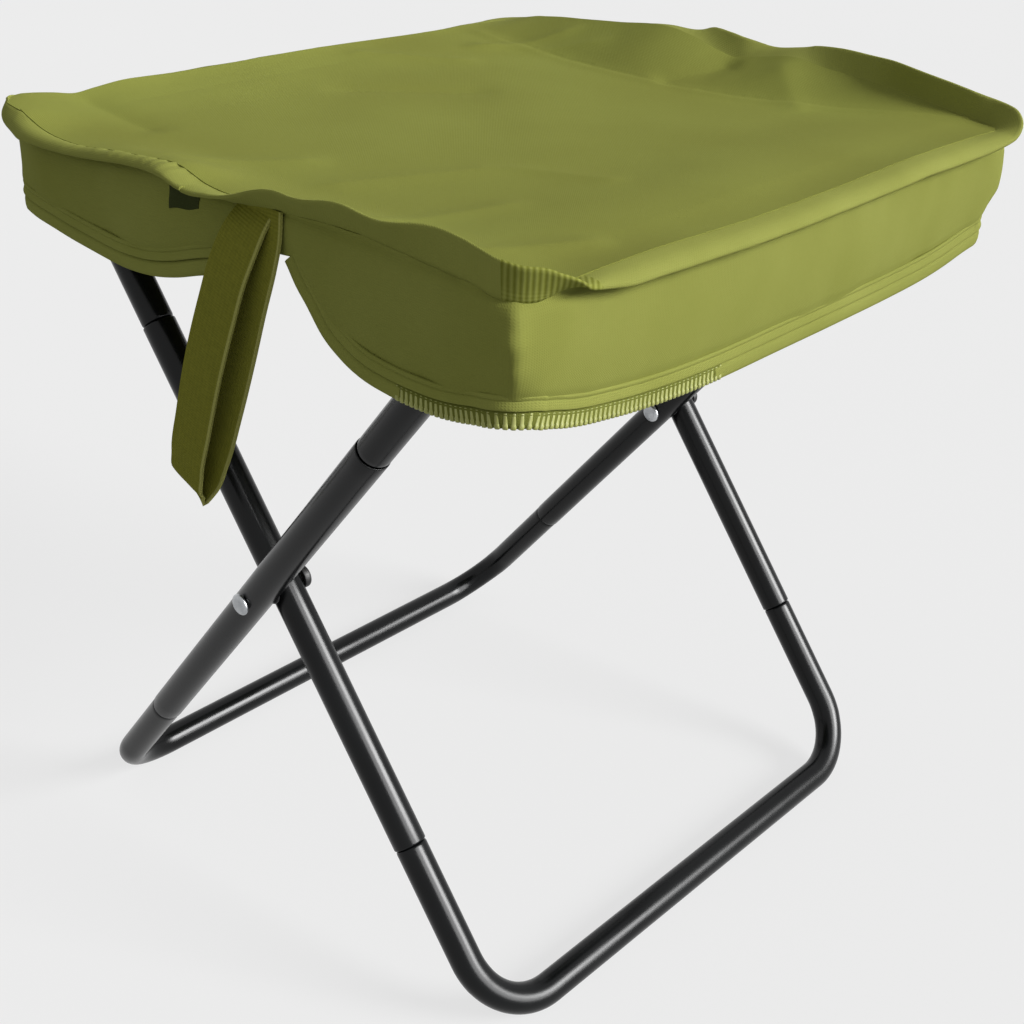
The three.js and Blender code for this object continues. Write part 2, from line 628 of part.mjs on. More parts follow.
// The carry strap: one closed loop of webbing that hangs from the rim's near side, square
// where its ends are sewn together and round where it turns back on itself.
function carryStrap() {
  const face = -(STRIP_Y + CLEARANCE);
  const depth = STRAP_LOOP_GAP + 2 * STRAP_CLOTH;
  const top = seatTop("right", STRAP_X, -WALL_OUTER_Y) - STRAP_TOP_INSET;
  const outline = (inset) => {
    const points = [
      [face - inset, -inset],
      [face - depth + inset, -inset],
    ];
    for (let k = 0; k <= STRAP_TURNS; k++) {
      const angle = (Math.PI * k) / STRAP_TURNS;
      const r = depth / 2 - inset;
      const y = face - depth / 2 - r * Math.cos(angle);
      points.push([y, depth / 2 - STRAP_DROP - r * Math.sin(angle)]);
    }
    return points;
  };
  const edges = [-STRAP_WIDTH / 2, STRAP_WIDTH / 2].map((dx) =>
    [0, STRAP_CLOTH].map((inset) =>
      outline(inset).map(([y, hang]) => {
        const x = dx * Math.cos(STRAP_LEAN) + hang * Math.sin(STRAP_LEAN);
        const z = hang * Math.cos(STRAP_LEAN) - dx * Math.sin(STRAP_LEAN);
        return new THREE.Vector3(STRAP_X + x, y, top + z);
      }),
    ),
  );
  const [[leftOuter, leftInner], [rightOuter, rightInner]] = edges;
  return ringLoop([leftOuter, rightOuter, rightInner, leftInner]);
}

// Stands a flat shape up against the far side: its x runs along X and its y up Z.
function uprightPlate(shape, depth, x, y, z) {
  const plate = new THREE.ExtrudeGeometry(shape, { depth, bevelEnabled: false, curveSegments: 6 });
  plate.rotateX(Math.PI / 2);
  return plate.translate(x, y + depth, z);
}

// The parked zip slider on the far side's lip of the left half, with the eye for its pull.
const SLIDER_Z = lipAt("left", farPlace("left", SLIDER_X)) + CHAIN_HEIGHT / 2;
const SLIDER_BACK_Y = WALL_INNER_Y + CHAIN_THICKNESS + CLEARANCE;
const SLIDER_FACE_Y = SLIDER_BACK_Y + SLIDER_DEPTH;

function zipSlider() {
  const [long, high] = [SLIDER_LENGTH / 2, SLIDER_HEIGHT / 2];
  const outline = new THREE.Shape();
  outline.moveTo(-long, -high * NOSE_SHARE);
  outline.quadraticCurveTo(0, -high, long, -high);
  outline.lineTo(long, high);
  outline.quadraticCurveTo(0, high, -long, high * NOSE_SHARE);
  const body = uprightPlate(outline, SLIDER_DEPTH, -SLIDER_X, SLIDER_BACK_Y, SLIDER_Z);
  const eye = new THREE.Shape();
  eye.moveTo(-CROWN_ROOT, -CROWN_RADIUS);
  eye.lineTo(CROWN_STAND, -CROWN_RADIUS);
  eye.absarc(CROWN_STAND, 0, CROWN_RADIUS, -Math.PI / 2, Math.PI / 2, false);
  eye.lineTo(-CROWN_ROOT, CROWN_RADIUS);
  const hole = new THREE.Path();
  hole.absarc(CROWN_STAND, 0, CROWN_EYE_RADIUS, 0, 2 * Math.PI, true);
  eye.holes.push(hole);
  const crown = new THREE.ExtrudeGeometry(eye, {
    depth: CROWN_WIDTH,
    bevelEnabled: false,
    curveSegments: 8,
  });
  const across = new THREE.Matrix4().makeBasis(
    new THREE.Vector3(0, 1, 0),
    new THREE.Vector3(0, 0, 1),
    new THREE.Vector3(1, 0, 0),
  );
  crown.applyMatrix4(across).translate(-SLIDER_X - CROWN_WIDTH / 2, SLIDER_FACE_Y, SLIDER_Z);
  return geometryOf(solidOf(body).add(solidOf(crown)));
}

// The pull: a plate with a window whose top bar turns in the slider's eye.
function sliderPull() {
  const [half, bar] = [PULL_WIDTH / 2, PULL_THICKNESS / 2];
  const plate = new THREE.Shape();
  plate.moveTo(half, bar);
  plate.lineTo(-half, bar);
  plate.lineTo(-half, -PULL_LENGTH + half);
  plate.absarc(0, -PULL_LENGTH + half, half, Math.PI, 2 * Math.PI, false);
  const side = PULL_WINDOW_WIDTH / 2;
  const window = new THREE.Path();
  window.moveTo(-side, -bar);
  window.lineTo(side, -bar);
  window.lineTo(side, -bar - PULL_WINDOW_LENGTH);
  window.lineTo(-side, -bar - PULL_WINDOW_LENGTH);
  plate.holes.push(window);
  const y = SLIDER_FACE_Y + CROWN_STAND - PULL_THICKNESS / 2;
  return uprightPlate(plate, PULL_THICKNESS, -SLIDER_X, y, SLIDER_Z);
}

// Assembly
const group = new THREE.Group();

function add(name, geometry, material) {
  const mesh = new THREE.Mesh(geometry, material);
  mesh.name = name;
  group.add(mesh);
}

for (const [frame, side] of [["a", 1], ["b", -1]]) {
  const { nearY, farY } = frameAxes(side);
  add(`frame_${frame}_top_loop`, endLoop(side, 1), blackPaint());
  add(`frame_${frame}_bottom_loop`, endLoop(side, -1), blackPaint());
  add(`frame_${frame}_near_sleeve`, legSleeve(side, nearY), blackPaint());
  add(`frame_${frame}_far_sleeve`, legSleeve(side, farY), blackPaint());
}

for (const [place, tubeY] of [["near", frameAxes(1).nearY], ["far", frameAxes(1).farY]]) {
  add(`${place}_pivot_rivet`, rivet(tubeY), bareSteel());
  add(`${place}_pivot_washer`, pivotWasher(tubeY), blackNylon());
  add(`${place}_rivet_cap`, rivetCap(tubeY), blackNylon());
}

for (const half of Object.keys(halves)) {
  add(`seat_panel_${half}`, seatPanel(half), oliveCloth());
  add(`end_wall_${half}`, endWall(half), oliveCloth());
  add(`near_wall_${half}`, sideWall(half, -1), oliveCloth());
  add(`far_wall_${half}`, sideWall(half, 1), oliveCloth());
  add(`crossbar_hem_${half}`, crossbarHem(halves[half].sign), oliveCloth());
  add(`rim_binding_${half}`, rimBinding(half), oliveTape());
  add(`zip_chain_${half}`, zipChain(half), zipCoil());
}

add("seat_fold_strip", foldStrip(), oliveCloth());
add("carry_strap", carryStrap(), oliveWebbing());
add("zip_slider", zipSlider(), bareSteel());
add("zip_slider_pull", sliderPull(), bareSteel());

export default group;
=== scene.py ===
"""Folding stool with a zip-edged seat cover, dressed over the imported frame. Sizes are in millimetres
and turned into metres where a mesh is made."""
import math

import bpy
import numpy as np
from mathutils import Matrix, Vector


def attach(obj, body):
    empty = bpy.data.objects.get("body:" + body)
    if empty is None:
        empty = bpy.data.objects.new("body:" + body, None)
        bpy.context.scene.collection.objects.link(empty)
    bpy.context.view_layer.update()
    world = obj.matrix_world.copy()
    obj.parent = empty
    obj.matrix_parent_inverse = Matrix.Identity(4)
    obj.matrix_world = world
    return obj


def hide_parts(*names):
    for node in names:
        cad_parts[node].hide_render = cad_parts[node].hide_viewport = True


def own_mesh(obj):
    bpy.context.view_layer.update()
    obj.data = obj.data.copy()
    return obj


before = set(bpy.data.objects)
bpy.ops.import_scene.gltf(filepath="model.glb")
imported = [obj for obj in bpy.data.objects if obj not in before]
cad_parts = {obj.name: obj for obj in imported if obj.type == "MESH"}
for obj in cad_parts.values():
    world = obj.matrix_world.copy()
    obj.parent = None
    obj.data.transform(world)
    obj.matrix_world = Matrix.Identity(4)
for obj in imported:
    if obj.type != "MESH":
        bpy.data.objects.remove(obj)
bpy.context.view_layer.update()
MM = 0.001

# Camera: solved from the tubes in the photograph, in metres
CAMERA_PLACE = (0.5661, -0.5937, 0.6603)
CAMERA_RIGHT = (0.72383, 0.68953, 0.02473)
CAMERA_UP = (-0.35032, 0.33639, 0.87414)
SENSOR_WIDTH, LENS = 36, 51.89

right = Vector(CAMERA_RIGHT).normalized()
back = right.cross(Vector(CAMERA_UP).normalized()).normalized()
camera = bpy.data.objects.new("camera", bpy.data.cameras.new("camera"))
facing = Matrix((right, back.cross(right), back)).transposed().to_4x4()
camera.matrix_world = Matrix.Translation(CAMERA_PLACE) @ facing
camera.data.sensor_width = SENSOR_WIDTH
camera.data.lens = LENS
camera.data.clip_start = 0.02
bpy.context.scene.collection.objects.link(camera)
bpy.context.scene.camera = camera

# Frame sizes, as in the CAD
LEG_SPACING = 354.8  # near leg to far leg of one frame
LEG_HALF = 275.0  # pivot to a crossbar, along the leg
LEAN = math.radians(38.7)
SLEEVE_RADIUS, SLEEVE_HALF = 9.5, 161.0
LOOP_RADIUS, LOOP_BEND = 9.15, 42.0
FRAME_OFFSET = 20.2  # frame A lies this much nearer than frame B
PIVOT_HEIGHT = 223.592
CROSSBAR_X, CROSSBAR_HEIGHT = 171.942, 438.208
PIECE_GAP = 0.3  # between pieces that touch

# Rivets, washers and caps
RIVET_RADIUS, RIVET_HEAD_RADIUS, RIVET_FACE_RADIUS, RIVET_HEAD_HEIGHT = 3.0, 6.2, 3.2, 2.5
RIVET_HOLLOW_RADIUS, RIVET_HOLLOW_DEPTH = 1.7, 7.0
RIVET_END = 3.2  # out of the second tube
WASHER_RADIUS, WASHER_HOLE, WASHER_THICKNESS = 8.0, 3.3, 0.6
CAP_RADIUS, CAP_HEIGHT, CAP_CROWN = 6.8, 3.2, 1.4

# Cover sizes
WALL_Y = 199.0  # middle to the near and far walls
RIGHT_END, LEFT_END = 199.3, 189.0  # middle to the end walls
CORNER = 15.0  # radius of the cover's corners, seen from above
END_RUN = WALL_Y - CORNER  # straight half of an end
SEAT = 450.2  # height that the seat's rises are counted from
BAR_LIFT, SEAT_SAG = 1.6, 3.0
FLAT_LEVEL = 449.3  # what stands above this presses flat when the stool is folded
TOP_THICKNESS, WALL_THICKNESS, HEM_THICKNESS, SHADE_TAB_THICKNESS = 1.3, 1.2, 0.8, 0.7
WEBBING_THICKNESS, WEBBING_WIDTH = 1.4, 25.0
BRIM_WIDTH, BRIM_CUT = 15.2, 18.0  # as it stands, and as it is cut
BRIM_THICKNESS, ROLL_THICKNESS = 1.7, 0.9  # standing, and how much more where it rolls over
NEAR_RISE, END_RISE = 55.0, 27.0  # how far in the seat rises towards its near side and its ends
WALL_BULGE = 2.2
BELOW_RIM = 1.6  # rim to the wall's top
SEAM_HEIGHT, LEAST_WALL = 14.5, 19.0  # lip to the wall's foot, and the wall's least height
LIP_START = 57  # middle to where the lip leaves the gap for the fold
LEFT_LIP_START = -8  # the left half's near lip runs past the middle, under the strap
TEETH_START, TEETH_STOP, GUARD_START = 131, -58, -62  # x on the near side, then y on the right end
HEM_GAP, HEM_INSET, HEM_RADIUS = 1.2, 5.0, 10.5  # off the crossbar, from its bends, of its cut
BRIM_SPACING, WALL_SPACING, BAND_SPACING = 1.2, 2.0, 1.5  # between rows of points
TOOTH_PITCH = 3.1  # tooth to tooth


# Small helpers
def curve(*points):
    """A smooth function through points (place, value), level beyond its ends."""
    xs, ys = np.array(sorted(points), float).T
    slope = np.gradient(ys, xs)

    def value(x):
        x = np.clip(np.asarray(x, float), xs[0], xs[-1])
        k = np.clip(np.searchsorted(xs, x, side="right") - 1, 0, len(xs) - 2)
        h = xs[k + 1] - xs[k]
        t = (x - xs[k]) / h
        from_start, from_end = t * (1 - t) ** 2 * slope[k], t * t * (1 - t) * slope[k + 1]
        level = (1 + 2 * t) * (1 - t) ** 2 * ys[k] + t * t * (3 - 2 * t) * ys[k + 1]
        return level + h * (from_start - from_end)

    return value


def step(x, low, high):
    """0 below low, 1 above high and smooth between."""
    t = np.clip((np.asarray(x, float) - low) / (high - low), 0, 1)
    return t * t * (3 - 2 * t)


def swell(x, middle, spread):
    """1 at the middle, fading to 0 on both sides."""
    return np.exp(-(((x - middle) / spread) ** 2))


def waves(seed, count, shortest, longest):
    """A seeded sum of waves along a length, within about -1 and 1."""
    rng = np.random.default_rng(seed)
    lengths = np.exp(rng.uniform(math.log(shortest), math.log(longest), count))
    phases, heights = rng.uniform(0, 2 * math.pi, count), rng.uniform(0.4, 1, count)

    def value(s):
        s = np.asarray(s, float)[..., None]
        return (heights * np.sin(2 * math.pi * s / lengths + phases)).sum(-1) / math.sqrt(count)

    return value


def running_length(points):
    """The length along a row of points, at each of them."""
    return np.concatenate([[0], np.cumsum(np.linalg.norm(np.diff(points, axis=0), axis=1))])


def make(name, points, faces, material, uv=None):
    """A smooth mesh from points in millimetres; uv gives each point's place on the cloth, in millimetres."""
    mesh = bpy.data.meshes.new(name)
    mesh.from_pydata((np.asarray(points, float).reshape(-1, 3) * MM).tolist(), [], [tuple(f) for f in faces])
    mesh.polygons.foreach_set("use_smooth", [True] * len(mesh.polygons))
    if uv is not None:
        uv = np.asarray(uv, float).reshape(-1, 2) * MM
        corner = np.zeros(len(mesh.loops), np.int64)
        mesh.loops.foreach_get("vertex_index", corner)
        mesh.uv_layers.new(name="cloth").data.foreach_set("uv", uv[corner].ravel())
    mesh.materials.append(material)
    mesh.validate()
    obj = bpy.data.objects.new(name, mesh)
    bpy.context.scene.collection.objects.link(obj)
    return obj


def grid_faces(rows, columns, closed_rows=False, closed_columns=False):
    """Four-sided faces between rows of points; a closed way joins its last row or column to the first."""
    faces = []
    for i in range(rows - (not closed_rows)):
        for j in range(columns - (not closed_columns)):
            across, below = (j + 1) % columns, (i + 1) % rows * columns
            faces.append((i * columns + j, i * columns + across, below + across, below + j))
    return faces


def normals(grid):
    """The direction that each point of a grid faces."""
    n = np.cross(np.gradient(grid, axis=0), np.gradient(grid, axis=1))
    return n / np.maximum(np.linalg.norm(n, axis=2, keepdims=True), 1e-9)


def outward(obj):
    """Turns the faces of a closed mesh so that they look out."""
    mesh = obj.data
    mesh.calc_loop_triangles()
    volume = 0
    for triangle in mesh.loop_triangles:
        a, b, c = (mesh.vertices[i].co for i in triangle.vertices)
        volume += a.dot(b.cross(c))
    if volume < 0:
        mesh.flip_normals()
    return obj


def sharpen(obj, rings):
    """Marks closed rows of points as sharp edges. Each is (row, how far its numbers are shifted)."""
    mesh = obj.data
    ends = np.zeros(2 * len(mesh.edges), np.int64)
    mesh.edges.foreach_get("vertices", ends)
    ends = np.sort(ends.reshape(-1, 2), 1)
    wanted = set()
    for row, shift in rings:
        wanted |= {(min(a, b) + shift, max(a, b) + shift) for a, b in zip(row, row[1:] + row[:1])}
    sharp = mesh.attributes.new("sharp_edge", "BOOLEAN", "EDGE")
    sharp.data.foreach_set("value", [tuple(e) in wanted for e in ends.tolist()])


def cloth(name, grid, thickness, material, uv):
    """A closed piece of cloth: grid is its outer face, rows by columns of points, and the inner face lies
    a thickness behind it."""
    rows, columns = grid.shape[:2]
    inner = grid - normals(grid) * thickness
    side = rows * columns
    faces = grid_faces(rows, columns)
    faces += [tuple(side + i for i in reversed(f)) for f in faces]
    border = list(range(columns)) + [i * columns + columns - 1 for i in range(1, rows)]
    border += [(rows - 1) * columns + j for j in range(columns - 2, -1, -1)]
    border += [i * columns for i in range(rows - 2, 0, -1)]
    faces += [(b, a, side + a, side + b) for a, b in zip(border, border[1:] + border[:1])]
    points = np.concatenate([grid.reshape(-1, 3), inner.reshape(-1, 3)])
    obj = make(name, points, faces, material, np.concatenate([uv.reshape(-1, 2)] * 2))
    sharpen(obj, [(border, 0), (border, side)])
    return outward(obj)


def tube(name, sections, material, uv=None, capped=True):
    """A skin over rings of equally many points, with a cap at each end or joined into a ring."""
    rows, columns = len(sections), len(sections[0])
    points = [p for section in sections for p in section]
    faces = grid_faces(rows, columns, closed_columns=True, closed_rows=not capped)
    if capped:
        faces += [tuple(range(columns)), tuple(reversed(range((rows - 1) * columns, rows * columns)))]
    obj = make(name, points, faces, material, uv)
    if capped:
        first = list(range(columns))
        sharpen(obj, [(first, 0), (first, (rows - 1) * columns)])
    return outward(obj)


def place(obj, body, slot, *nodes):
    """Ties a piece to its body and hides the CAD nodes that it stands for. The slot, its finish, is not used.
    """
    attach(obj, body)
    if nodes:
        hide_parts(*nodes)
    return obj


def flatten_when_folded(obj):
    """Gives the piece a mesh of its own."""
    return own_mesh(obj)


# Materials
def linear(code):
    """An sRGB hex value as the linear colour that a socket takes."""
    rgb = [int(code[i : i + 2], 16) / 255 for i in (1, 3, 5)]
    return [c / 12.92 if c <= 0.04045 else ((c + 0.055) / 1.055) ** 2.4 for c in rgb] + [1.0]


class Shader:
    """One material's nodes."""

    def __init__(self, name, roughness, metallic=0.0, **sockets):
        self.material = bpy.data.materials.new(name)
        self.material.use_nodes = True
        self.tree = self.material.node_tree
        self.main = self.tree.nodes["Principled BSDF"]
        self.main.inputs["Roughness"].default_value = roughness
        self.main.inputs["Metallic"].default_value = metallic
        for socket, value in sockets.items():
            self.main.inputs[socket.replace("_", " ")].default_value = value

    def fill(self, socket, value):
        """Links a socket to another node's output, or gives it a value."""
        if hasattr(value, "is_linked"):
            self.tree.links.new(value, socket)
        else:
            socket.default_value = value

    def node(self, kind, inputs=None, output=0, **settings):
        """Adds a node, sets it up and links or fills its inputs; returns one output."""
        node = self.tree.nodes.new("ShaderNode" + kind)
        for key, value in settings.items():
            setattr(node, key, value)
        for key, value in (inputs or {}).items():
            self.fill(node.inputs[key], value)
        return node.outputs[output]

    def total(self, start, *parts):
        """The start with each (value, weight) added to it."""
        for value, weight in parts:
            start = self.node("Math", {0: value, 1: weight, 2: start}, operation="MULTIPLY_ADD")
        return start

    def shade(self, value, low, high, dark, light):
        """The dark colour up to low and the light one from high on, blended between."""
        share = self.node("MapRange", {0: value, 1: low, 2: high})
        return self.node("Mix", {0: share, 6: linear(dark), 7: linear(light)}, output=2, data_type="RGBA")

    def patches(self, size, detail=3.0):
        """Noise whose patches are about size millimetres wide."""
        where = self.node("TexCoord").node.outputs["Object"]
        return self.node("TexNoise", {"Vector": where, "Scale": 0.6 / (size * MM), "Detail": detail})

    def cloth_axes(self):
        """The place along and across the cloth, in metres."""
        split = self.node("SeparateXYZ", {0: self.node("UVMap", uv_map="cloth")}).node
        return split.outputs[0], split.outputs[1]

    def wave(self, along, pitch):
        """From 0 to 1 and back once in each pitch, in millimetres."""
        sine = self.node("Math", {0: self.total(0.0, (along, 2 * math.pi / (pitch * MM)))}, operation="SINE")
        return self.total(0.5, (sine, 0.5))

    def finish(self, color, roughness=None, height=None, depth=0.1):
        """Links the colour, the roughness and a relief of depth millimetres."""
        self.fill(self.main.inputs["Base Color"], color)
        if roughness is not None:
            self.fill(self.main.inputs["Roughness"], roughness)
        if height is not None:
            bump = self.node("Bump", {"Height": height, "Distance": depth * MM, "Strength": 1.0})
            self.fill(self.main.inputs["Normal"], bump)
        return self.material


def woven(name, light, dark, pitch=1.25, depth=0.08, patches=70.0, thread_highlight=0.12):
    """Plain woven polyester: crossed threads in relief with a painted highlight on them as fine light dots,
    broad soft patches and no gloss. Its threads are about 0.5 mm apart; they are drawn at pitch, which is as
    fine as the render shows."""
    s = Shader(name, 0.82, Specular_IOR_Level=0.04)
    u, v = s.cloth_axes()
    crossed = s.total(0.0, (s.wave(u, pitch), s.wave(v, pitch)))
    threads = s.total(crossed, (s.wave(s.total(u, (v, 1.0)), pitch), 0.35))
    fuzz, broad = s.patches(2.2, 2.0), s.patches(patches, 2.0)
    even = 0.5 - 2.2 / 2 - 0.35 / 2 - 0.45 * thread_highlight  # so that the middle tone is 0.5
    # the threads' share of the tone is a painted highlight on the thread crossings
    tone = s.total(even, (broad, 2.2), (fuzz, 0.35), (threads, thread_highlight))
    roughness = s.node("MapRange", {0: broad, 1: 0.2, 2: 0.8, 3: 0.86, 4: 0.74})
    return s.finish(s.shade(tone, 0.0, 1.0, dark, light), roughness, s.total(threads, (fuzz, 0.7)), depth)


def ribbed(name, light, dark, pitch=2.45, depth=0.11):
    """Ribbed edge tape: ribs across it in relief, with painted light on their crests and painted shade in the
    lines between them, and a row of stitches at its root.
    """
    s = Shader(name, 0.8, Specular_IOR_Level=0.04)
    u, v = s.cloth_axes()
    at_root = s.node("MapRange", {0: v, 1: 0.006, 2: 0.001})
    stitches = s.total(0.0, (s.wave(v, 2.1), at_root))
    ribs, speck = s.total(s.wave(u, pitch), (stitches, 0.5)), s.patches(1.6, 2.0)
    # the ribs' light and dark in the colour are painted light and shade; their relief is the bump below
    color = s.shade(s.total(ribs, (speck, 0.4)), 0.15, 1.45, dark, light)
    return s.finish(color, None, s.total(ribs, (speck, 0.3)), depth)


def strap_webbing(name, light, dark, edge_highlight):
    """Woven webbing: close cross ribs that look matt, and a painted highlight along one edge, where its
    folded edge is also raised.
    """
    s = Shader(name, 0.8, Specular_IOR_Level=0.04)
    u, v = s.cloth_axes()
    ribs, lines, fuzz = s.wave(u, 1.7), s.wave(v, 2.5), s.patches(2.0, 2.0)
    body = s.shade(s.total(fuzz, (ribs, 0.35), (lines, 0.25)), 0.3, 1.1, dark, light)
    # painted highlight: the pale line along the webbing's folded edge
    edge = s.node("MapRange", {0: v, 1: 0.0108, 2: 0.0113})
    color = s.node("Mix", {0: edge, 6: body, 7: linear(edge_highlight)}, output=2, data_type="RGBA")
    return s.finish(color, None, s.total(fuzz, (ribs, 1.0), (edge, 2.0)), 0.14)


def enamel(name, light, dark):
    """Stoved enamel on steel tube: a deep gloss whose streaks waver a little, dulled by thin dust."""
    s = Shader(name, 0.2, Specular_IOR_Level=0.2)
    dust, waver = s.patches(30.0, 4.0), s.patches(3.5, 2.0)
    roughness = s.node("MapRange", {0: dust, 1: 0.3, 2: 0.8, 3: 0.2, 4: 0.3})
    return s.finish(s.shade(dust, 0.35, 0.8, dark, light), roughness, waver, 0.012)


def plated(name, light, dark):
    """Zinc plated steel: bright, with duller worn patches and a fine grain that breaks up its shine."""
    s = Shader(name, 0.32, metallic=1.0)
    grain, worn = s.patches(1.2), s.patches(6.0)
    roughness = s.node("MapRange", {0: grain, 1: 0.3, 2: 0.7, 3: 0.24, 4: 0.46})
    return s.finish(s.shade(worn, 0.3, 0.75, dark, light), roughness, grain, 0.02)


def moulded(name, light, dark, roughness=0.5):
    """A smooth, even skin with a soft shine and the faint grain of its mould."""
    s = Shader(name, roughness, Specular_IOR_Level=0.4)
    return s.finish(s.shade(s.patches(12.0), 0.3, 0.7, dark, light), None, s.patches(0.8, 2.0), 0.02)


seat_cloth = woven("olive woven polyester", "#82873F", "#7A7D39")
wall_cloth = woven("olive wall cloth", "#868A44", "#7F833D", 1.1, 0.06, 40.0, 0.14)
folded_tape = woven("olive folded tape", "#898D46", "#838741", 1.1, patches=25.0)
zip_ground = woven("olive zip tape", "#6C7131", "#62672A", 1.1, patches=25.0)
# painted shade: this dark cloth stands for the shade in the pocket under the brim by the strap
pocket_shade_cloth = woven("painted shade under brim", "#3A4020", "#30361A", 1.3, patches=25.0)
rib_tape = ribbed("olive ribbed tape", "#90944A", "#6C7029")
webbing = strap_webbing("olive webbing", "#7D7D2D", "#6F7027", "#A0A058")
tooth_nylon = moulded("olive zip teeth", "#A3A75C", "#92964C")
black_nylon = moulded("black nylon", "#1C1C1D", "#121213")
lacquered_zinc = moulded("olive lacquered zinc", "#8C9148", "#6C7134", 0.35)
black_enamel = enamel("gloss black enamel", "#0E1011", "#08090A")
zinc = plated("zinc plated steel", "#C9CBCD", "#8D9093")


# Frames
OPEN_LINE = 0.5  # between a sleeve's end and the loop's shoulder
SHOULDER = [(-4, 7.9), (0.05, 8.0), (0.2, 8.55), (0.7, 8.95), (1.6, LOOP_RADIUS)]  # (past the line, radius)
SLEEVE_MOUTH = [(6, 8.4), (0.3, 8.4), (0, 8.7), (0, 9.2), (0.25, 9.42), (0.8, SLEEVE_RADIUS)]
SLEEVE_EVEN_HALF = 150
BEND_RINGS = 24
BEND_FLATTENING = 0.25


def leg_axes(side):
    """A frame's direction along its legs, the direction square to it, and the near and far legs' y."""
    along = np.array([side * math.sin(LEAN), 0, math.cos(LEAN)])
    square = np.array([math.cos(LEAN), 0, -side * math.sin(LEAN)])
    return along, square, -(LEG_SPACING + side * FRAME_OFFSET) / 2, (LEG_SPACING - side * FRAME_OFFSET) / 2


def ring(centre, tangent, square, radius, sides=48):
    """A round of points about a centre."""
    other = np.cross(tangent, square)
    turn = np.linspace(0, 2 * math.pi, sides, endpoint=False)[:, None]
    return np.asarray(centre) + radius * (np.cos(turn) * square + np.sin(turn) * other)


def loop_rings(side, end):
    """Rings along a bent end loop, from the near sleeve round the crossbar to the far sleeve."""
    along, square, near_y, far_y = leg_axes(side)
    out = along * end
    straight = LEG_HALF - LOOP_BEND
    line = SLEEVE_HALF + OPEN_LINE
    leg = [(line + t, radius) for t, radius in SHOULDER]
    leg += [(t, LOOP_RADIUS) for t in np.linspace(line + 4, straight - 2, 10)]
    rings = [(t, near_y, 0.0, radius) for t, radius in leg]
    for k in range(BEND_RINGS + 1):
        turn = math.pi / 2 * k / BEND_RINGS
        y = near_y + LOOP_BEND * (1 - math.cos(turn))
        rings.append((straight + LOOP_BEND * math.sin(turn), y, turn, LOOP_RADIUS))
    for y in np.linspace(near_y + LOOP_BEND, far_y - LOOP_BEND, 14)[1:-1]:
        rings.append((LEG_HALF, y, math.pi / 2, LOOP_RADIUS))
    for k in range(BEND_RINGS + 1):
        turn = math.pi / 2 * (1 + k / BEND_RINGS)
        y = far_y - LOOP_BEND * (1 + math.cos(turn))
        rings.append((straight + LOOP_BEND * math.sin(turn), y, turn, LOOP_RADIUS))
    rings += [(t, far_y, math.pi, radius) for t, radius in reversed(leg)]
    made = []
    for t, y, turn, radius in rings:
        if 0.35 < turn < math.pi - 0.35 and abs(turn - math.pi / 2) > 0.02:
            radius -= BEND_FLATTENING * math.sin(2 * turn) ** 2
        centre = np.array([0, y, PIVOT_HEIGHT]) + out * t
        tangent = out * math.cos(turn) + np.array([0, 1, 0]) * math.sin(turn)
        made.append(ring(centre, tangent, square, radius))
    return made


def sleeve_rings(side, y):
    """Rings along a straight leg sleeve, with its turned-in mouth at both ends."""
    along, square, _, _ = leg_axes(side)
    profile = [(-SLEEVE_HALF + t, radius) for t, radius in SLEEVE_MOUTH]
    profile += [(t, SLEEVE_RADIUS) for t in np.linspace(-SLEEVE_EVEN_HALF, 0, 10)]
    profile += [(-t, radius) for t, radius in reversed(profile[:-1])]
    centre = np.array([0, y, PIVOT_HEIGHT])
    return [ring(centre + along * t, along, square, radius) for t, radius in profile]


def dress_frame(name, side):
    """The four tubes of one frame."""
    _, _, near_y, far_y = leg_axes(side)
    parts = [("top_loop", loop_rings(side, 1)), ("bottom_loop", loop_rings(side, -1))]
    parts += [("near_sleeve", sleeve_rings(side, near_y)), ("far_sleeve", sleeve_rings(side, far_y))]
    for part, rings in parts:
        obj = tube(f"tube_{name}_{part}", rings, black_enamel)
        place(obj, f"frame_{name}", "frame_paint", f"frame_{name}_{part}")


def turned(name, profile, y, material, capped=True):
    """A piece turned about a pivot; profile is (radius, place along Y from y)."""
    axis, square = np.array([0, 1.0, 0]), np.array([1.0, 0, 0])
    rings = [ring((0, y + along, PIVOT_HEIGHT), axis, square, max(radius, 0.02)) for radius, along in profile]
    return tube(name, rings, material, capped=capped)


def rounded_edge(radius, face, low, high, steps=8):
    """Quarter round from the edge of a flat face out to the radius, and from low to high."""
    turns = np.linspace(0, math.pi / 2, steps)
    return [(face + (radius - face) * math.sin(t), low + (high - low) * (1 - math.cos(t))) for t in turns]


def rivet_profile():
    """The head with its faint dimple, the shank, and the hollow end that it is set with."""
    under, end = -SLEEVE_RADIUS - PIECE_GAP, FRAME_OFFSET + SLEEVE_RADIUS + RIVET_END
    face = under - RIVET_HEAD_HEIGHT
    profile = [(0, face + 0.15), (1.2, face + 0.08), (2.4, face)]
    profile += rounded_edge(RIVET_HEAD_RADIUS, RIVET_FACE_RADIUS, face, under - 0.7)
    profile += [(RIVET_HEAD_RADIUS - 0.1, under), (RIVET_RADIUS, under), (RIVET_RADIUS, end)]
    profile += [(RIVET_HOLLOW_RADIUS, end), (RIVET_HOLLOW_RADIUS - 0.1, end - RIVET_HOLLOW_DEPTH + 0.5)]
    return profile + [(0, end - RIVET_HOLLOW_DEPTH)]


def washer_profile():
    low = SLEEVE_RADIUS + PIECE_GAP
    high, edge = low + WASHER_THICKNESS, 0.2
    outside = [(WASHER_RADIUS - 0.3, low), (WASHER_RADIUS, low + edge), (WASHER_RADIUS, high - edge)]
    return [(WASHER_HOLE, low), *outside, (WASHER_RADIUS - 0.3, high), (WASHER_HOLE, high)]


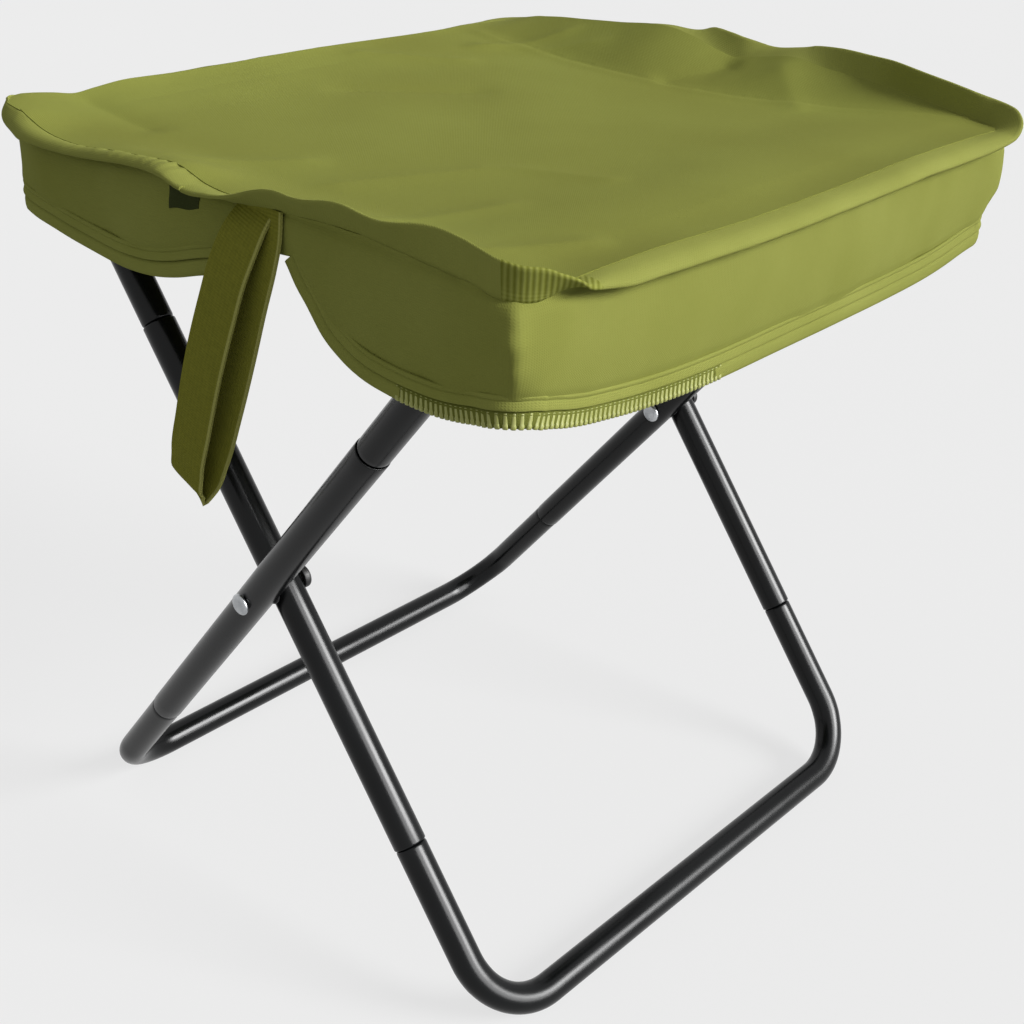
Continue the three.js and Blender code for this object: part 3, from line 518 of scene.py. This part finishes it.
def cap_profile():
    """The domed cap over the rivet's end, hollow below."""
    low = FRAME_OFFSET + SLEEVE_RADIUS + PIECE_GAP
    top = low + CAP_HEIGHT
    profile = [(0, top), (3.2, top), (3.3, low), (6.5, low), (CAP_RADIUS, low + 0.3), (CAP_RADIUS, top)]
    for t in np.linspace(0.2, math.pi / 2, 6):
        profile.append((CAP_RADIUS - CAP_CROWN * (1 - math.cos(t)), top + CAP_CROWN * math.sin(t)))
    return profile + [(3, top + CAP_CROWN + 0.1), (0, top + CAP_CROWN + 0.15)]


def dress_pivot(name, y):
    """The rivet, washer and cap of one pivot."""
    rivet = turned(f"rivet_{name}", rivet_profile(), y, zinc)
    place(rivet, "frame_a", "rivet_steel", f"{name}_pivot_rivet")
    washer = turned(f"washer_{name}", washer_profile(), y, black_nylon, capped=False)
    place(washer, "frame_a", "black_nylon", f"{name}_pivot_washer")
    cap = turned(f"cap_{name}", cap_profile(), y, black_nylon)
    place(cap, "frame_a", "black_nylon", f"{name}_rivet_cap")


dress_frame("a", 1)
dress_frame("b", -1)
dress_pivot("near", leg_axes(1)[2])
dress_pivot("far", leg_axes(1)[3])


# Cover: places round the rim. A half's way round is told by one number: 0 in the middle of the near side,
# and the values below where its straight sides end, up to the middle of the far side.
NEAR_STOP, END_START, END_STOP, FAR_START, WAY_STOP = 1.0, 1.2, 2.2, 2.4, 3.4
NEAR_CORNER, END_MIDDLE, FAR_CORNER = 1.1, 1.7, 2.3


def near_at(x, reach):
    """The place on the near side that is x from the middle."""
    return x / (reach - CORNER)


def end_at(y):
    """The place on the end wall at y."""
    return END_START + (y + END_RUN) / (2 * END_RUN)


def far_at(x, reach):
    """The place on the far side that is x from the middle."""
    return WAY_STOP - x / (reach - CORNER)


def corner_turn(p, start):
    """How far the rim has turned in the corner that starts there."""
    return np.clip((p - start) / (END_START - NEAR_STOP), 0, 1) * math.pi / 2


class Half:
    """The forms of one half of the cover: its rim's height, the brim's lean and the lip."""

    def __init__(self, name, side, reach, wall_ends, rim, lean, lip):
        self.name, self.body, self.side, self.reach = name, "seat_" + name, side, reach
        self.wall_start, self.wall_stop = near_at(wall_ends[0], reach), far_at(wall_ends[1], reach)
        self.rim, self.lean, self.lip = (curve(*self.placed(**points)) for points in (rim, lean, lip))

    def placed(self, near, near_corner, end, far_corner, far):
        """Points given in millimetres along each side, as points along the way round."""
        points = [(near_at(x, self.reach), value) for x, value in near] + [(NEAR_CORNER, near_corner)]
        points += [(end_at(y), value) for y, value in end] + [(FAR_CORNER, far_corner)]
        return points + [(far_at(x, self.reach), value) for x, value in far]

    def way(self, start, stop, spacing):
        """Even places from start to stop: (number, x, y, outward x, outward y, length so far)."""
        fine = np.linspace(start, stop, 4000)
        x, y, _, _ = self.plan(fine)
        length = running_length(np.stack([x, y], 1))
        count = max(2, int(round(length[-1] / spacing)) + 1)
        even = np.linspace(0, length[-1], count)
        p = np.interp(even, length, fine)
        return (p, *self.plan(p), even)

    def sway(self, p):
        """How far the lip wanders in and out."""
        return 0.35 * waves(41 + self.side, 7, 40, 160)(p * 190) - self.tucked(p)

    def tucked(self, p):
        """How far the wall and the lip draw in at the left half's near corner."""
        return 4.6 * swell(p, NEAR_CORNER, 0.13) if self.side < 0 else 0 * p

    def plan(self, p):
        """The rim from above: x, y and the x and y of its outward direction."""
        p = np.asarray(p, float)
        straight = self.reach - CORNER
        near_turn, far_turn = corner_turn(p, NEAR_STOP), corner_turn(p, END_STOP)
        x = np.where(p < NEAR_STOP, p * straight, straight + CORNER * np.sin(near_turn))
        x = np.where(p > END_STOP, straight + CORNER * np.cos(far_turn), x)
        x = np.where(p > FAR_START, (WAY_STOP - p) * straight, x)
        y = (p - END_MIDDLE) * 2 * END_RUN
        y = np.where(p < END_START, -WALL_Y + CORNER * (1 - np.cos(near_turn)), y)
        y = np.where(p > END_STOP, END_RUN + CORNER * np.sin(far_turn), y)
        turn = np.where(p > END_MIDDLE, math.pi / 2 + far_turn, near_turn)
        return self.side * x, y, self.side * np.sin(turn), -np.cos(turn)


# Rim heights above the floor; leans in degrees, 0 for a brim that lies flat and 90 for one that stands; and
# heights of the lip. On the near and far sides a point's place is its distance from the middle, on an end
# its y. A place below 0 lies on the other half, so that both halves meet at the middle with one slope.
RIGHT_RIM = dict(
    near=[(-20, 460), (0, 455.5), (20, 454.5), (50, 457), (80, 460), (110, 461), (140, 459.5), (170, 457.7)],
    near_corner=455.3,
    end=[(-160, 454.8), (-120, 455.2), (-53, 453.3), (30, 453.6), (99, 455.2), (160, 454.5)],
    far_corner=452.6,
    far=[
        (178, 454), (160, 457.5), (126, 462), (80, 465.5), (53, 468), (30, 464.5), (12, 462), (0, 464),
        (-14, 467),
    ],
)
RIGHT_LEAN = dict(
    near=[
        (-14, 8), (0, 12), (12, 16), (30, 26), (50, 40), (66, 47), (80, 47), (110, 53), (140, 68), (162, 86),
        (178, 90),
    ],
    near_corner=72,
    end=[(-178, 42), (-164, 10), (-148, -8), (-120, -15), (-53, -15), (99, -15), (150, -14), (176, 0)],
    far_corner=55,
    far=[
        (180, 84), (165, 90), (138, 90), (110, 70), (75, 45), (53, 20), (28, 24), (12, 50), (0, 46),
        (-14, 26),
    ],
)
RIGHT_LIP = dict(
    near=[
        (12, 441), (50, 440), (57, 433.7), (64, 424), (71, 416.5), (80, 406), (94, 397), (108, 392),
        (124, 389.8), (145, 389.7), (158, 390.4), (170, 392.2), (180, 394.4),
    ],
    near_corner=396.3,
    end=[
        (-180, 393.2), (-168, 389.8), (-155, 387), (-141, 384.9), (-127, 382.9), (-112, 381.3), (-90, 379.8),
        (-60, 378.9), (0, 378.8), (93, 380.3), (150, 384), (176, 388),
    ],
    far_corner=391,
    far=[(170, 388), (140, 384), (114, 383), (90, 391), (75, 405), (64, 422), (58, 436)],
)
LEFT_RIM = dict(
    near=[(-20, 454.5), (0, 455.5), (20, 460), (50, 458), (80, 455), (110, 451.5), (140, 452.5), (165, 459)],
    near_corner=464.5,
    end=[
        (-178, 461.5), (-165, 459), (-152, 456.5), (-138, 457.5), (-120, 459), (-93, 458.2), (20, 458),
        (145, 455.5),
    ],
    far_corner=456.5,
    far=[(172, 459), (136, 464), (83, 469), (39, 472), (12, 467), (0, 464), (-12, 462)],
)
LEFT_LEAN = dict(
    near=[(-12, 16), (0, 12), (14, 8), (30, 2), (50, 6), (80, 2), (110, 6), (140, -8), (160, -38)],
    near_corner=-66,
    end=[(-165, -46), (-130, -26), (0, -18), (145, -15)],
    far_corner=6,
    far=[(178, 0), (136, -10), (83, -12), (46, -8), (30, 6), (16, 26), (0, 46), (-12, 50)],
)
LEFT_LIP = dict(
    near=[
        (-14, 416), (0, 412), (10, 409), (32, 402), (52, 397.5), (73, 395.5), (94, 396), (130, 398.5),
        (155, 401),
    ],
    near_corner=404,
    end=[(-165, 402), (-120, 396), (0, 390), (120, 394), (165, 398)],
    far_corner=400,
    far=[(155, 396), (130, 390), (114, 387), (90, 393), (75, 406), (64, 422), (58, 436)],
)
right_half = Half("right", 1, RIGHT_END, (12, 56), RIGHT_RIM, RIGHT_LEAN, RIGHT_LIP)
left_half = Half("left", -1, LEFT_END, (-14, 56), LEFT_RIM, LEFT_LEAN, LEFT_LIP)


# Top cloth
def bar_height(side, x):
    """The seat without its raised edges: a little crown over the crossbars and a sag between them."""
    share = np.minimum(1, np.abs(x) / CROSSBAR_X)
    crown = 3.3 * swell(np.abs(x), 150, 40) if side > 0 else 1.5 * swell(np.abs(x), 165, 20)
    return SEAT + BAR_LIFT - SEAT_SAG * (1 - share**2) + crown


def crease(x, y, ends, width, height):
    """A soft ridge between two places of the seat, or a groove where its height is below 0."""
    (x0, y0), (x1, y1) = ends
    length = math.hypot(x1 - x0, y1 - y0)
    t = ((x - x0) * (x1 - x0) + (y - y0) * (y1 - y0)) / length**2
    d = ((x - x0) * (y1 - y0) - (y - y0) * (x1 - x0)) / length
    fade = step(t, -0.1, 0.15) * (1 - step(t, 0.85, 1.1))
    return height * fade * np.exp(-np.abs(d / width) ** 1.5)


# How far the crease along the far side lies from that side
FAR_CREASE = curve((-205, 40), (-120, 48), (0, 52), (60, 44), (97, 34), (140, 20), (170, 9), (200, 5))
CREASES = [  # (two ends, half width, height)
    (((-150, 130), (-75, 178)), 8, 1.28),
    (((-178, 40), (-120, 100)), 9, 1.28),
    (((-125, -20), (-60, 55)), 14, -1.6),
    (((20, -150), (60, -60)), 12, 1.28),
    (((60, -60), (120, -40)), 8, 0.96),
    (((90, -180), (110, -100)), 9, 1.12),
    (((-190, -150), (-110, -150)), 10, -2.08),
    (((-60, -190), (-10, -120)), 9, 1.44),
    (((150, -185), (178, -120)), 9, 1.6),
    (((-110, 188), (-150, 120)), 7, 1.44),
    (((20, 192), (-10, 150)), 11, -1.92),
    (((52, 192), (96, 150)), 11, 1.44),
]


def seat_height(half, x, y):
    """Height of the top cloth: the bars, the raised edges and the creases."""
    base = bar_height(half.side, x)
    out = np.abs(x)
    near = half.rim(np.minimum(near_at(out, half.reach), NEAR_CORNER))
    far = half.rim(np.maximum(far_at(out, half.reach), FAR_CORNER))
    end = half.rim(end_at(np.clip(y, -END_RUN, END_RUN)))
    by_near = (1 - step(y + WALL_Y, 0, NEAR_RISE)) ** 1.5
    slope = np.clip(1 - (WALL_Y - y) / FAR_CREASE(x), 0, 1)
    by_far = np.where(slope > 0.08, slope - 0.04, slope**2 * 3.1)
    by_end = (1 - np.clip((half.reach - out) / END_RISE, 0, 1)) ** 1.4
    z = base + by_near * (near - base) + by_far * (far - base) / 0.96 + by_end * (end - base)
    z -= by_end * (by_near * (half.rim(NEAR_CORNER) - SEAT) + by_far * (half.rim(FAR_CORNER) - SEAT))
    inside = (1 - by_near) * (1 - by_end)
    for ends, width, height in CREASES:
        z += crease(x, y, ends, width, height) * np.clip(inside + 0.25, 0, 1)
    z += 0.9 * swell(WALL_Y - y - FAR_CREASE(x), 0, 6) * (1 - by_end)
    return z + 0.45 * np.sin(x / 27 + 1.3 * np.sin(y / 41)) * np.cos(y / 37 + x / 70) * inside


def top_cloth(half, *nodes):
    """One half of the top cloth, from the fold line to the rim, with closer points towards the rim."""
    columns, rows = 110, 220
    b = np.linspace(-1, 1, rows)
    y = np.sign(b) * (1 - (1 - np.abs(b)) ** 1.25) * WALL_Y
    past = np.maximum(0, np.abs(y) - END_RUN)
    edge = half.reach - CORNER + np.sqrt(np.maximum(0, CORNER**2 - past**2))
    a = 1 - (1 - np.linspace(0, 1, columns)) ** 1.2
    x = half.side * edge[:, None] * a[None, :]
    y = np.broadcast_to(y[:, None], x.shape)
    grid = np.stack([x, y, seat_height(half, x, y)], 2)[:: half.side]
    obj = cloth(f"seat_top_{half.name}", grid, TOP_THICKNESS, seat_cloth, grid[..., :2].copy())
    place(obj, half.body, "seat_cloth", *nodes)
    return flatten_when_folded(obj)


def hem(half):
    """The cloth that is sewn round a crossbar, open along its underside."""
    _, _, near_y, far_y = leg_axes(half.side)
    start, stop = near_y + LOOP_BEND + HEM_INSET, far_y - LOOP_BEND - HEM_INSET
    turn, y = np.meshgrid(np.linspace(-0.98, 0.98, 40) * math.pi, np.linspace(start, stop, 60), indexing="ij")
    radius = LOOP_RADIUS + HEM_GAP + 0.15 * np.sin(y / 6.1 + 2 * turn)
    radius = radius + 1.6 * (np.abs(turn) / math.pi) ** 8  # its open edges stand off
    x = half.side * (CROSSBAR_X + radius * np.sin(turn))
    grid = np.stack([x, y, CROSSBAR_HEIGHT + radius * np.cos(turn)], 2)[:: half.side]
    uv = np.stack([turn * 10.3, y], 2)[:: half.side]
    obj = cloth(f"hem_{half.name}", grid, HEM_THICKNESS, wall_cloth, uv)
    place(obj, half.body, "seat_cloth", f"crossbar_hem_{half.name}")


# Brim
RIBS_START, RIBS_STOP = 1.05, end_at(-160)


def brim(half):
    """The rim's edge tape: it stands where the cloth is pushed up and rolls over elsewhere."""
    name, left = f"brim_{half.name}", half.side < 0
    p, x, y, ox, oy, s = half.way(0.0, WAY_STOP, BRIM_SPACING)
    lean = np.radians(half.lean(p))
    free = step(s, 0, 25) * (1 - step(s, s[-1] - 25, s[-1]))
    soft = waves(11 + half.side, 7, 35, 150)(s) * free
    pucker = waves(23 + half.side, 9, 7, 22)(s) * free
    flat = np.clip((0.5 - lean) / 0.6, 0, 1)
    by_strap = left * (1 - step(p, 0.8, 1.0))
    crest = by_strap * step(p, 0.02, 0.25)
    width = BRIM_WIDTH + 0.5 * soft - 0.8 * flat
    if left:
        width = width - 4.5 * swell(p, NEAR_CORNER, 0.16) - 2.5 * crest * (1 - step(p, 0.6, 0.95))
    else:
        width = width - 3.5 * swell(p, 1.25, 0.05)

    across = np.linspace(0, 1, 10)
    curl = (flat * (1 - 0.65 * by_strap))[:, None]
    turn = lean[:, None] + curl * (0.30 - 1.25 * across**2) + 0.10 * soft[:, None] * across
    turn = turn + crest[:, None] * (0.6 - 1.6 * across**1.4)
    pace = (width / (len(across) - 1))[:, None]
    run = (np.cumsum(np.cos(turn), 1) - np.cos(turn)[:, :1]) * pace
    climb = (np.cumsum(np.sin(turn), 1) - np.sin(turn)[:, :1]) * pace
    rough = (1.6 if left else 0.4) * (1 - step(p, 0.3, 0.8)) + 0.12
    wrinkle = 0.42 * (pucker * rough)[:, None] * np.exp(-across[None, :] / 0.6)
    thick = BRIM_THICKNESS + ROLL_THICKNESS * flat[:, None] * np.ones_like(across)
    lap = 0.8 * np.exp(-across / 0.25)
    base = seat_height(half, x, y)

    def face(shift):
        """The brim's middle moved by shift, square to it."""
        out, up = run - np.sin(turn) * shift, climb + np.cos(turn) * shift
        face_x, face_y = x[:, None] + ox[:, None] * out, y[:, None] + oy[:, None] * out
        return np.stack([face_x, face_y, base[:, None] + up], 2)

    top, under = face(0.1 + wrinkle + lap), face(0.1 + wrinkle - thick)
    tip = face(0.1 + wrinkle - thick / 2)[:, -1:] + (top[:, -1:] - top[:, -2:-1]) * 0.45
    root = []
    for inward, depth in ((5.0, 1.0), (3.4, -0.45), (1.6, -0.9)):
        root_x, root_y = x - ox * inward, y - oy * inward
        root.append(np.stack([root_x, root_y, seat_height(half, root_x, root_y) - depth], 1))
    heel = np.stack([x - ox * 0.4, y - oy * 0.4, base - 2.8], 1)[:, None]
    sections = np.concatenate([np.stack(root, 1), top, tip, under[:, ::-1], heel], 1)
    on_cloth = np.concatenate([[-5.0, -3.4, -1.6], across * 15, [16], across[::-1] * 15, [-2.0]])
    along = s[:, None] if left else (sections[..., 0] + sections[..., 1]) / math.sqrt(2)
    uv = np.stack(np.broadcast_arrays(along, on_cloth[None, :]), 2)
    obj = tube(name, list(sections), folded_tape, uv)
    if not left:
        obj.data.materials.append(rib_tape)
        first, last = np.searchsorted(p, (RIBS_START, RIBS_STOP))
        for polygon in obj.data.polygons:
            row = min(polygon.vertices) // sections.shape[1]
            polygon.material_index = int(first <= row < last and len(polygon.vertices) == 4)
    place(obj, half.body, "rim_tape", f"rim_binding_{half.name}")
    return flatten_when_folded(obj)


# Walls
def wall(half, trims):
    """The wall round one half, from the rim down to the seam over the zip tape. It is cut at the level that
    presses flat, into an upper and a lower part."""
    p, x, y, ox, oy, s = half.way(half.wall_start, half.wall_stop, WALL_SPACING)
    v = np.linspace(0, 1, 36)[:, None]
    top = half.rim(p) - BELOW_RIM
    low = np.minimum(half.lip(p) + SEAM_HEIGHT, top - LEAST_WALL)
    z = top + (low - top) * v
    tall = np.clip((top - low) / 45, 0.15, 1)
    fold, ripple, tuck = waves(5, 8, 22, 90), waves(10, 8, 60, 240), waves(14, 6, 12, 30)
    bulge = WALL_BULGE * np.sin(math.pi * v) - 1.6 * swell(v, 0.04, 0.06) - 0.9 * swell(v, 1, 0.06)
    amount = 0.55 * swell(v, 0, 0.35) + 0.3 * swell(v, 1, 0.3) + 0.2
    out = bulge + amount * fold(s[None, :] + 9 * v) + 0.8 * ripple(s[None, :] + 30 * v)
    out = out + 0.3 * tuck(s[None, :] - 14 * v) * swell(v, 0, 0.2)
    out = out * tall - half.tucked(p) * (step(v, 0.0, 0.3) + 1.3 * np.sin(math.pi * v))
    for start in (NEAR_STOP, END_STOP):
        if half.side > 0 or start == END_STOP:
            turn = corner_turn(p, start)
            square = CORNER * (1 / np.maximum(np.cos(turn), np.sin(turn)) - 1)
            out = out + (0.25 + 0.7 * step(v, 0.0, 0.2) - 0.75 * step(v, 0.65, 1.0)) * square
    if half.side > 0:
        past = s - np.interp(NEAR_CORNER, p, s)
        out = out + 2.8 * swell(past, -2, 4) * swell(z, 437, 6)
        out = out - 1.2 * swell(past, -7, 4) * swell(z, 434, 9)
    place_x, place_y = x + ox * out, y + oy * out

    def part(name, high, bottom, count):
        """The part between two heights, on rows of its own."""
        rows = high + (bottom - high) * np.linspace(0, 1, count)[:, None]
        columns = range(len(s))
        at = np.stack([np.interp(-rows[:, k], -z[:, k], v[:, 0]) for k in columns], 1) * (len(v) - 1)
        row = np.clip(at.astype(int), 0, len(v) - 2)
        share = at - row
        plan = [g[row, columns] * (1 - share) + g[row + 1, columns] * share for g in (place_x, place_y)]
        grid = np.stack([*plan, rows], 2)[:: -half.side]
        uv = np.stack([np.broadcast_to(s[None, :], rows.shape), rows], 2)[:: -half.side]
        return cloth(name, grid, WALL_THICKNESS, wall_cloth, uv)

    name, overlap = f"wall_{half.name}", 0.05
    upper = part(f"{name}_top", top, np.minimum(FLAT_LEVEL - overlap, top - 2), 9)
    place(upper, half.body, "seat_cloth")
    lower = part(name, FLAT_LEVEL + overlap, low, 34)
    place(lower, half.body, "seat_cloth", *(f"{side}_wall_{half.name}" for side in ("near", "end", "far")))
    return flatten_when_folded(upper)


# Lip: outlines across a band, as (outward, away from the lip)
SEAM = [(-0.9, 15.5), (0.9, 15.7), (1.25, 14.8), (1.1, 13.6), (0.3, 13.0), (-0.9, 13.2)]
TAPE = [(-1.2, 14.6), (0.15, 14.4), (0.9, 12.4), (1.75, 9.7), (1.7, 8.9), (0.6, 8.5), (-1.2, 8.7)]
GUARD = [
    (-1.2, 8.9), (0.2, 8.1), (1.0, 7.0), (1.35, 5.0), (1.3, 2.4), (0.9, 0.6), (0.1, 0.0), (-0.8, 0.3),
    (-1.2, 2.0),
]
BEHIND_TEETH = [(-1.3, 9), (0.3, 9), (1.0, 7.0), (1.05, 3.4), (1.0, 1.2), (0.2, 0.5), (-1.3, 0.9)]
TOOTH = [
    (0.4, 8.1), (0.9, 7.4), (1.15, 5.2), (1.2, 3.2), (1.55, 2.5), (1.6, 1.3), (1.3, 0.4), (0.4, 0.2),
    (-0.4, 0.6), (-0.4, 4.0),
]
TOOTH_CREST = range(4, 8)  # the points of its outline that stand out
TOOTH_HALF_WIDTH, CREST_HALF_WIDTH = 1.05, 1.2


def across_lip(half, p, s):
    """Unit steps along and across the lip in its wall, as (along the way, up)."""
    slope = np.gradient(half.lip(p), s)
    size = np.hypot(1, slope)
    return 1 / size, slope / size


def lip_band(name, half, start, stop, outline, material, slot, *nodes):
    """A band along the lip."""
    p, x, y, ox, oy, s = half.way(start, stop, BAND_SPACING)
    along, rise = across_lip(half, p, s)
    lip, wavy = half.lip(p), half.sway(p)
    tx, ty = -oy * half.side, ox * half.side
    lines = []
    for outward_by, h in outline:
        line_x = x + ox * (outward_by + wavy) - tx * rise * h
        line_y = y + oy * (outward_by + wavy) - ty * rise * h
        lines.append(np.stack([line_x, line_y, lip + h * along], 1))
    sections = np.stack(lines, 1)
    uv = np.stack(np.broadcast_arrays(s[:, None], np.array([h for _, h in outline])[None, :]), 2)
    return place(tube(name, list(sections), material, uv), half.body, slot, *nodes)


def zip_teeth(half, start, stop):
    """The chain's teeth under the tape's edge. They stand across the lip."""
    p, x, y, ox, oy, s = half.way(start, stop, TOOTH_PITCH)
    along, rise = across_lip(half, p, s)
    lip, wavy = half.lip(p), half.sway(p)
    points, faces = [], []
    count = len(TOOTH)
    for k in range(len(s)):
        level = np.array([-oy[k] * half.side, ox[k] * half.side, 0.0])
        lengthwise = level * along[k] + np.array([0, 0, rise[k]])
        upward = np.array([0, 0, along[k]]) - level * rise[k]
        normal = np.array([ox[k], oy[k], 0.0])
        middle = np.array([x[k] + ox[k] * wavy[k], y[k] + oy[k] * wavy[k], lip[k]])
        first = len(points)
        for share, size in ((-1.0, 0.75), (-0.6, 1.0), (0.6, 1.0), (1.0, 0.75)):
            for j, (outward_by, h) in enumerate(TOOTH):
                wide = CREST_HALF_WIDTH if j in TOOTH_CREST else TOOTH_HALF_WIDTH
                out, up = outward_by * size + 0.1 * (1 - size), h * size + 1.2 * (1 - size)
                points.append(middle + normal * out + lengthwise * share * wide + upward * up)
        faces += [tuple(first + i for i in f) for f in grid_faces(4, count, closed_columns=True)]
        faces += [tuple(first + j for j in reversed(range(count)))]
        faces += [tuple(first + 3 * count + j for j in range(count))]
    teeth = outward(make("zip_teeth_right", points, faces, tooth_nylon))
    return place(teeth, half.body, "zip_coil")


def lip_trims(half, start, guard_start):
    """The seam, the tape and the guard along one half's lip."""
    stop = far_at(LIP_START, half.reach)
    chain = f"zip_chain_{half.name}"
    return [
        lip_band(f"lip_seam_{half.name}", half, start, stop, SEAM, folded_tape, "seat_cloth"),
        lip_band(f"zip_tape_{half.name}", half, start, stop, TAPE, folded_tape, "zip_coil"),
        lip_band(f"zip_guard_{half.name}", half, guard_start, stop, GUARD, folded_tape, "zip_coil", chain),
    ]


def painted_shade_tab(half):
    """A small dark tab of cloth under the brim by the strap; its colour is painted shade, the shade in the
    pocket under the rim.
    """
    u, v = np.meshgrid(np.linspace(0, 1, 14), np.linspace(0, 1, 10), indexing="ij")
    x = -26 + 23 * u + 0.6 * np.sin(5 * v)
    z = 454 - (14.5 - 4.7 * u) * v + 0.5 * np.sin(7 * u)
    y = -WALL_Y - 2.2 - 0.5 * np.sin(3 * u + 2 * v) - 0.6 * v
    tab = cloth("painted_shade_tab", np.stack([x, y, z], 2), SHADE_TAB_THICKNESS, pocket_shade_cloth, np.stack([x, z], 2))
    return flatten_when_folded(place(tab, half.body, "seat_cloth"))


hem(right_half)
top_cloth(right_half, "seat_panel_right", "seat_fold_strip")
brim(right_half)
lip_start, teeth_start = near_at(LIP_START, RIGHT_END), near_at(TEETH_START, RIGHT_END)
teeth_stop = end_at(TEETH_STOP)
right_trims = lip_trims(right_half, lip_start, end_at(GUARD_START))
right_trims.append(zip_teeth(right_half, teeth_start, teeth_stop))
for name, start, stop, outline, material in (
    ("zip_back_right", teeth_start, teeth_stop, BEHIND_TEETH, zip_ground),
    ("zip_guard_start", lip_start, teeth_start + 0.01, GUARD, folded_tape),
):
    right_trims.append(lip_band(name, right_half, start, stop, outline, material, "zip_coil"))
wall(right_half, right_trims)

hem(left_half)
top_cloth(left_half, "seat_panel_left")
brim(left_half)
lip_start = near_at(LEFT_LIP_START, LEFT_END)
wall(left_half, [*lip_trims(left_half, lip_start, lip_start), painted_shade_tab(left_half)])

# Carry strap: an open loop of webbing that hangs from the rim and leans along the wall
STRAP_PATH = [  # middle of the webbing
    (40, -200.6, 456),
    (38, -205.4, 448.5),
    (30, -211.5, 428),
    (21, -214.5, 403),
    (9, -216, 372),
    (-4, -216, 337),
    (-15, -214.5, 309),
    (-19.5, -211.5, 295.5),
    (-20, -207.5, 292),
    (-15.5, -204.8, 297.5),
    (-3, -203.2, 319),
    (11, -202.6, 350),
    (25, -202.4, 384),
    (36, -202.4, 413),
    (44, -202.2, 434),
    (47, -201.4, 446),
    (47, -200.2, 457),
]
STRAP_POINTS = 170
SLANT = -0.37  # of the hanging webbing across the wall


def unit(directions):
    """Rows of directions, each made one long."""
    return directions / np.linalg.norm(directions, axis=1, keepdims=True)


def strap():
    """The webbing's surface, swept along its path with its edges a little cupped."""
    path = np.array(STRAP_PATH, float)
    t = running_length(path)
    fine = np.linspace(0, t[-1], STRAP_POINTS)
    line = np.stack([curve(*zip(t, path[:, k]))(fine) for k in range(3)], 1)
    tangent = unit(np.gradient(line, axis=0))
    slant = SLANT * step(fine, 2, 30) * (1 - step(fine, fine[-1] - 30, fine[-1] - 2))
    across = np.stack([np.full(STRAP_POINTS, 0.93), 0.10 * np.sin(fine / 60), slant], 1)
    across = unit(across - tangent * (across * tangent).sum(1, keepdims=True))
    half_width = WEBBING_WIDTH / 2
    offsets = np.linspace(-half_width, half_width, 17)
    cupped = 0.5 * (np.abs(offsets) / half_width) ** 3
    behind = np.cross(tangent, across)[:, None, :] * cupped[None, :, None]
    grid = line[:, None, :] + across[:, None, :] * offsets[None, :, None] - behind
    length = running_length(line)
    uv = np.stack(np.broadcast_arrays(length[:, None], offsets[None, :]), 2)
    obj = cloth("strap_webbing", grid, WEBBING_THICKNESS, webbing, uv)
    place(obj, "carry_strap", "strap_webbing", "carry_strap")


strap()

# CAD nodes that stay, in a better finish
for node in ("zip_slider", "zip_slider_pull"):
    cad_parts[node].data.materials.clear()
    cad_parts[node].data.materials.append(lacquered_zinc)

# Floor, world and lights. The camera and reflections see a pale room; what lights the object is plainer.
ROOM = "#EBEBEB"
FLOOR_HALF = 9000
FLOOR_GLOW, SKY_LIGHT = 0.86, 0.47


def seen_or_reflected(s):
    """1 for rays from the camera and for reflected and refracted ones, 0 for the rest."""
    rays = s.node("LightPath").node.outputs
    sight = s.node("Math", {0: rays["Is Camera Ray"], 1: rays["Is Glossy Ray"]}, operation="MAXIMUM")
    return s.node("Math", {0: sight, 1: rays["Is Transmission Ray"]}, operation="MAXIMUM")


def pale_floor():
    """A matt floor that glows faintly where it is seen, so that it looks as pale as the room."""
    s = Shader("pale floor", 0.9, Specular_IOR_Level=0.0, Emission_Color=linear(ROOM))
    seen = seen_or_reflected(s)
    tone = s.shade(s.patches(900.0, 2.0), 0.2, 0.8, "#606060", "#646464")
    s.fill(s.main.inputs["Emission Strength"], s.total(0.0, (seen, FLOOR_GLOW)))
    return s.finish(s.node("Mix", {0: seen, 6: linear("#9C9C9C"), 7: tone}, output=2, data_type="RGBA"))


class Sky(Shader):
    """The world's nodes, with the same helpers."""

    def __init__(self, world):
        world.use_nodes = True
        self.tree = world.node_tree
        self.background = self.tree.nodes["Background"]


def sun(name, energy, angle, direction, lights_surfaces=True):
    """A soft sun from the right, a little behind."""
    lamp = bpy.data.objects.new(name, bpy.data.lights.new(name, "SUN"))
    lamp.data.energy, lamp.data.angle = energy, math.radians(angle)
    lamp.rotation_mode = "QUATERNION"
    lamp.rotation_quaternion = Vector(direction).to_track_quat("-Z", "Y")
    lamp.visible_diffuse = lights_surfaces
    bpy.context.scene.collection.objects.link(lamp)


corners = [(-FLOOR_HALF, -FLOOR_HALF, 0), (FLOOR_HALF, -FLOOR_HALF, 0)]
corners += [(FLOOR_HALF, FLOOR_HALF, 0), (-FLOOR_HALF, FLOOR_HALF, 0)]
make("floor", corners, [(0, 1, 2, 3)], pale_floor())

world = bpy.data.worlds.new("studio")
bpy.context.scene.world = world
sky = Sky(world)
sky.fill(sky.background.inputs["Color"], linear(ROOM))
strength = sky.node("MapRange", {0: seen_or_reflected(sky), 1: 0.0, 2: 1.0, 3: SKY_LIGHT, 4: 1.0})
sky.fill(sky.background.inputs["Strength"], strength)

sun("key", energy=4.05, angle=24, direction=(-0.79, -0.38, -0.48))
# This one shows only in reflections, as the wide pale streak along the tubes
sun("key in reflections", energy=8.0, angle=55, direction=(-0.853, -0.228, -0.47), lights_surfaces=False)

bpy.context.scene.view_settings.view_transform = "Standard"
bpy.context.scene.view_settings.look = "None"
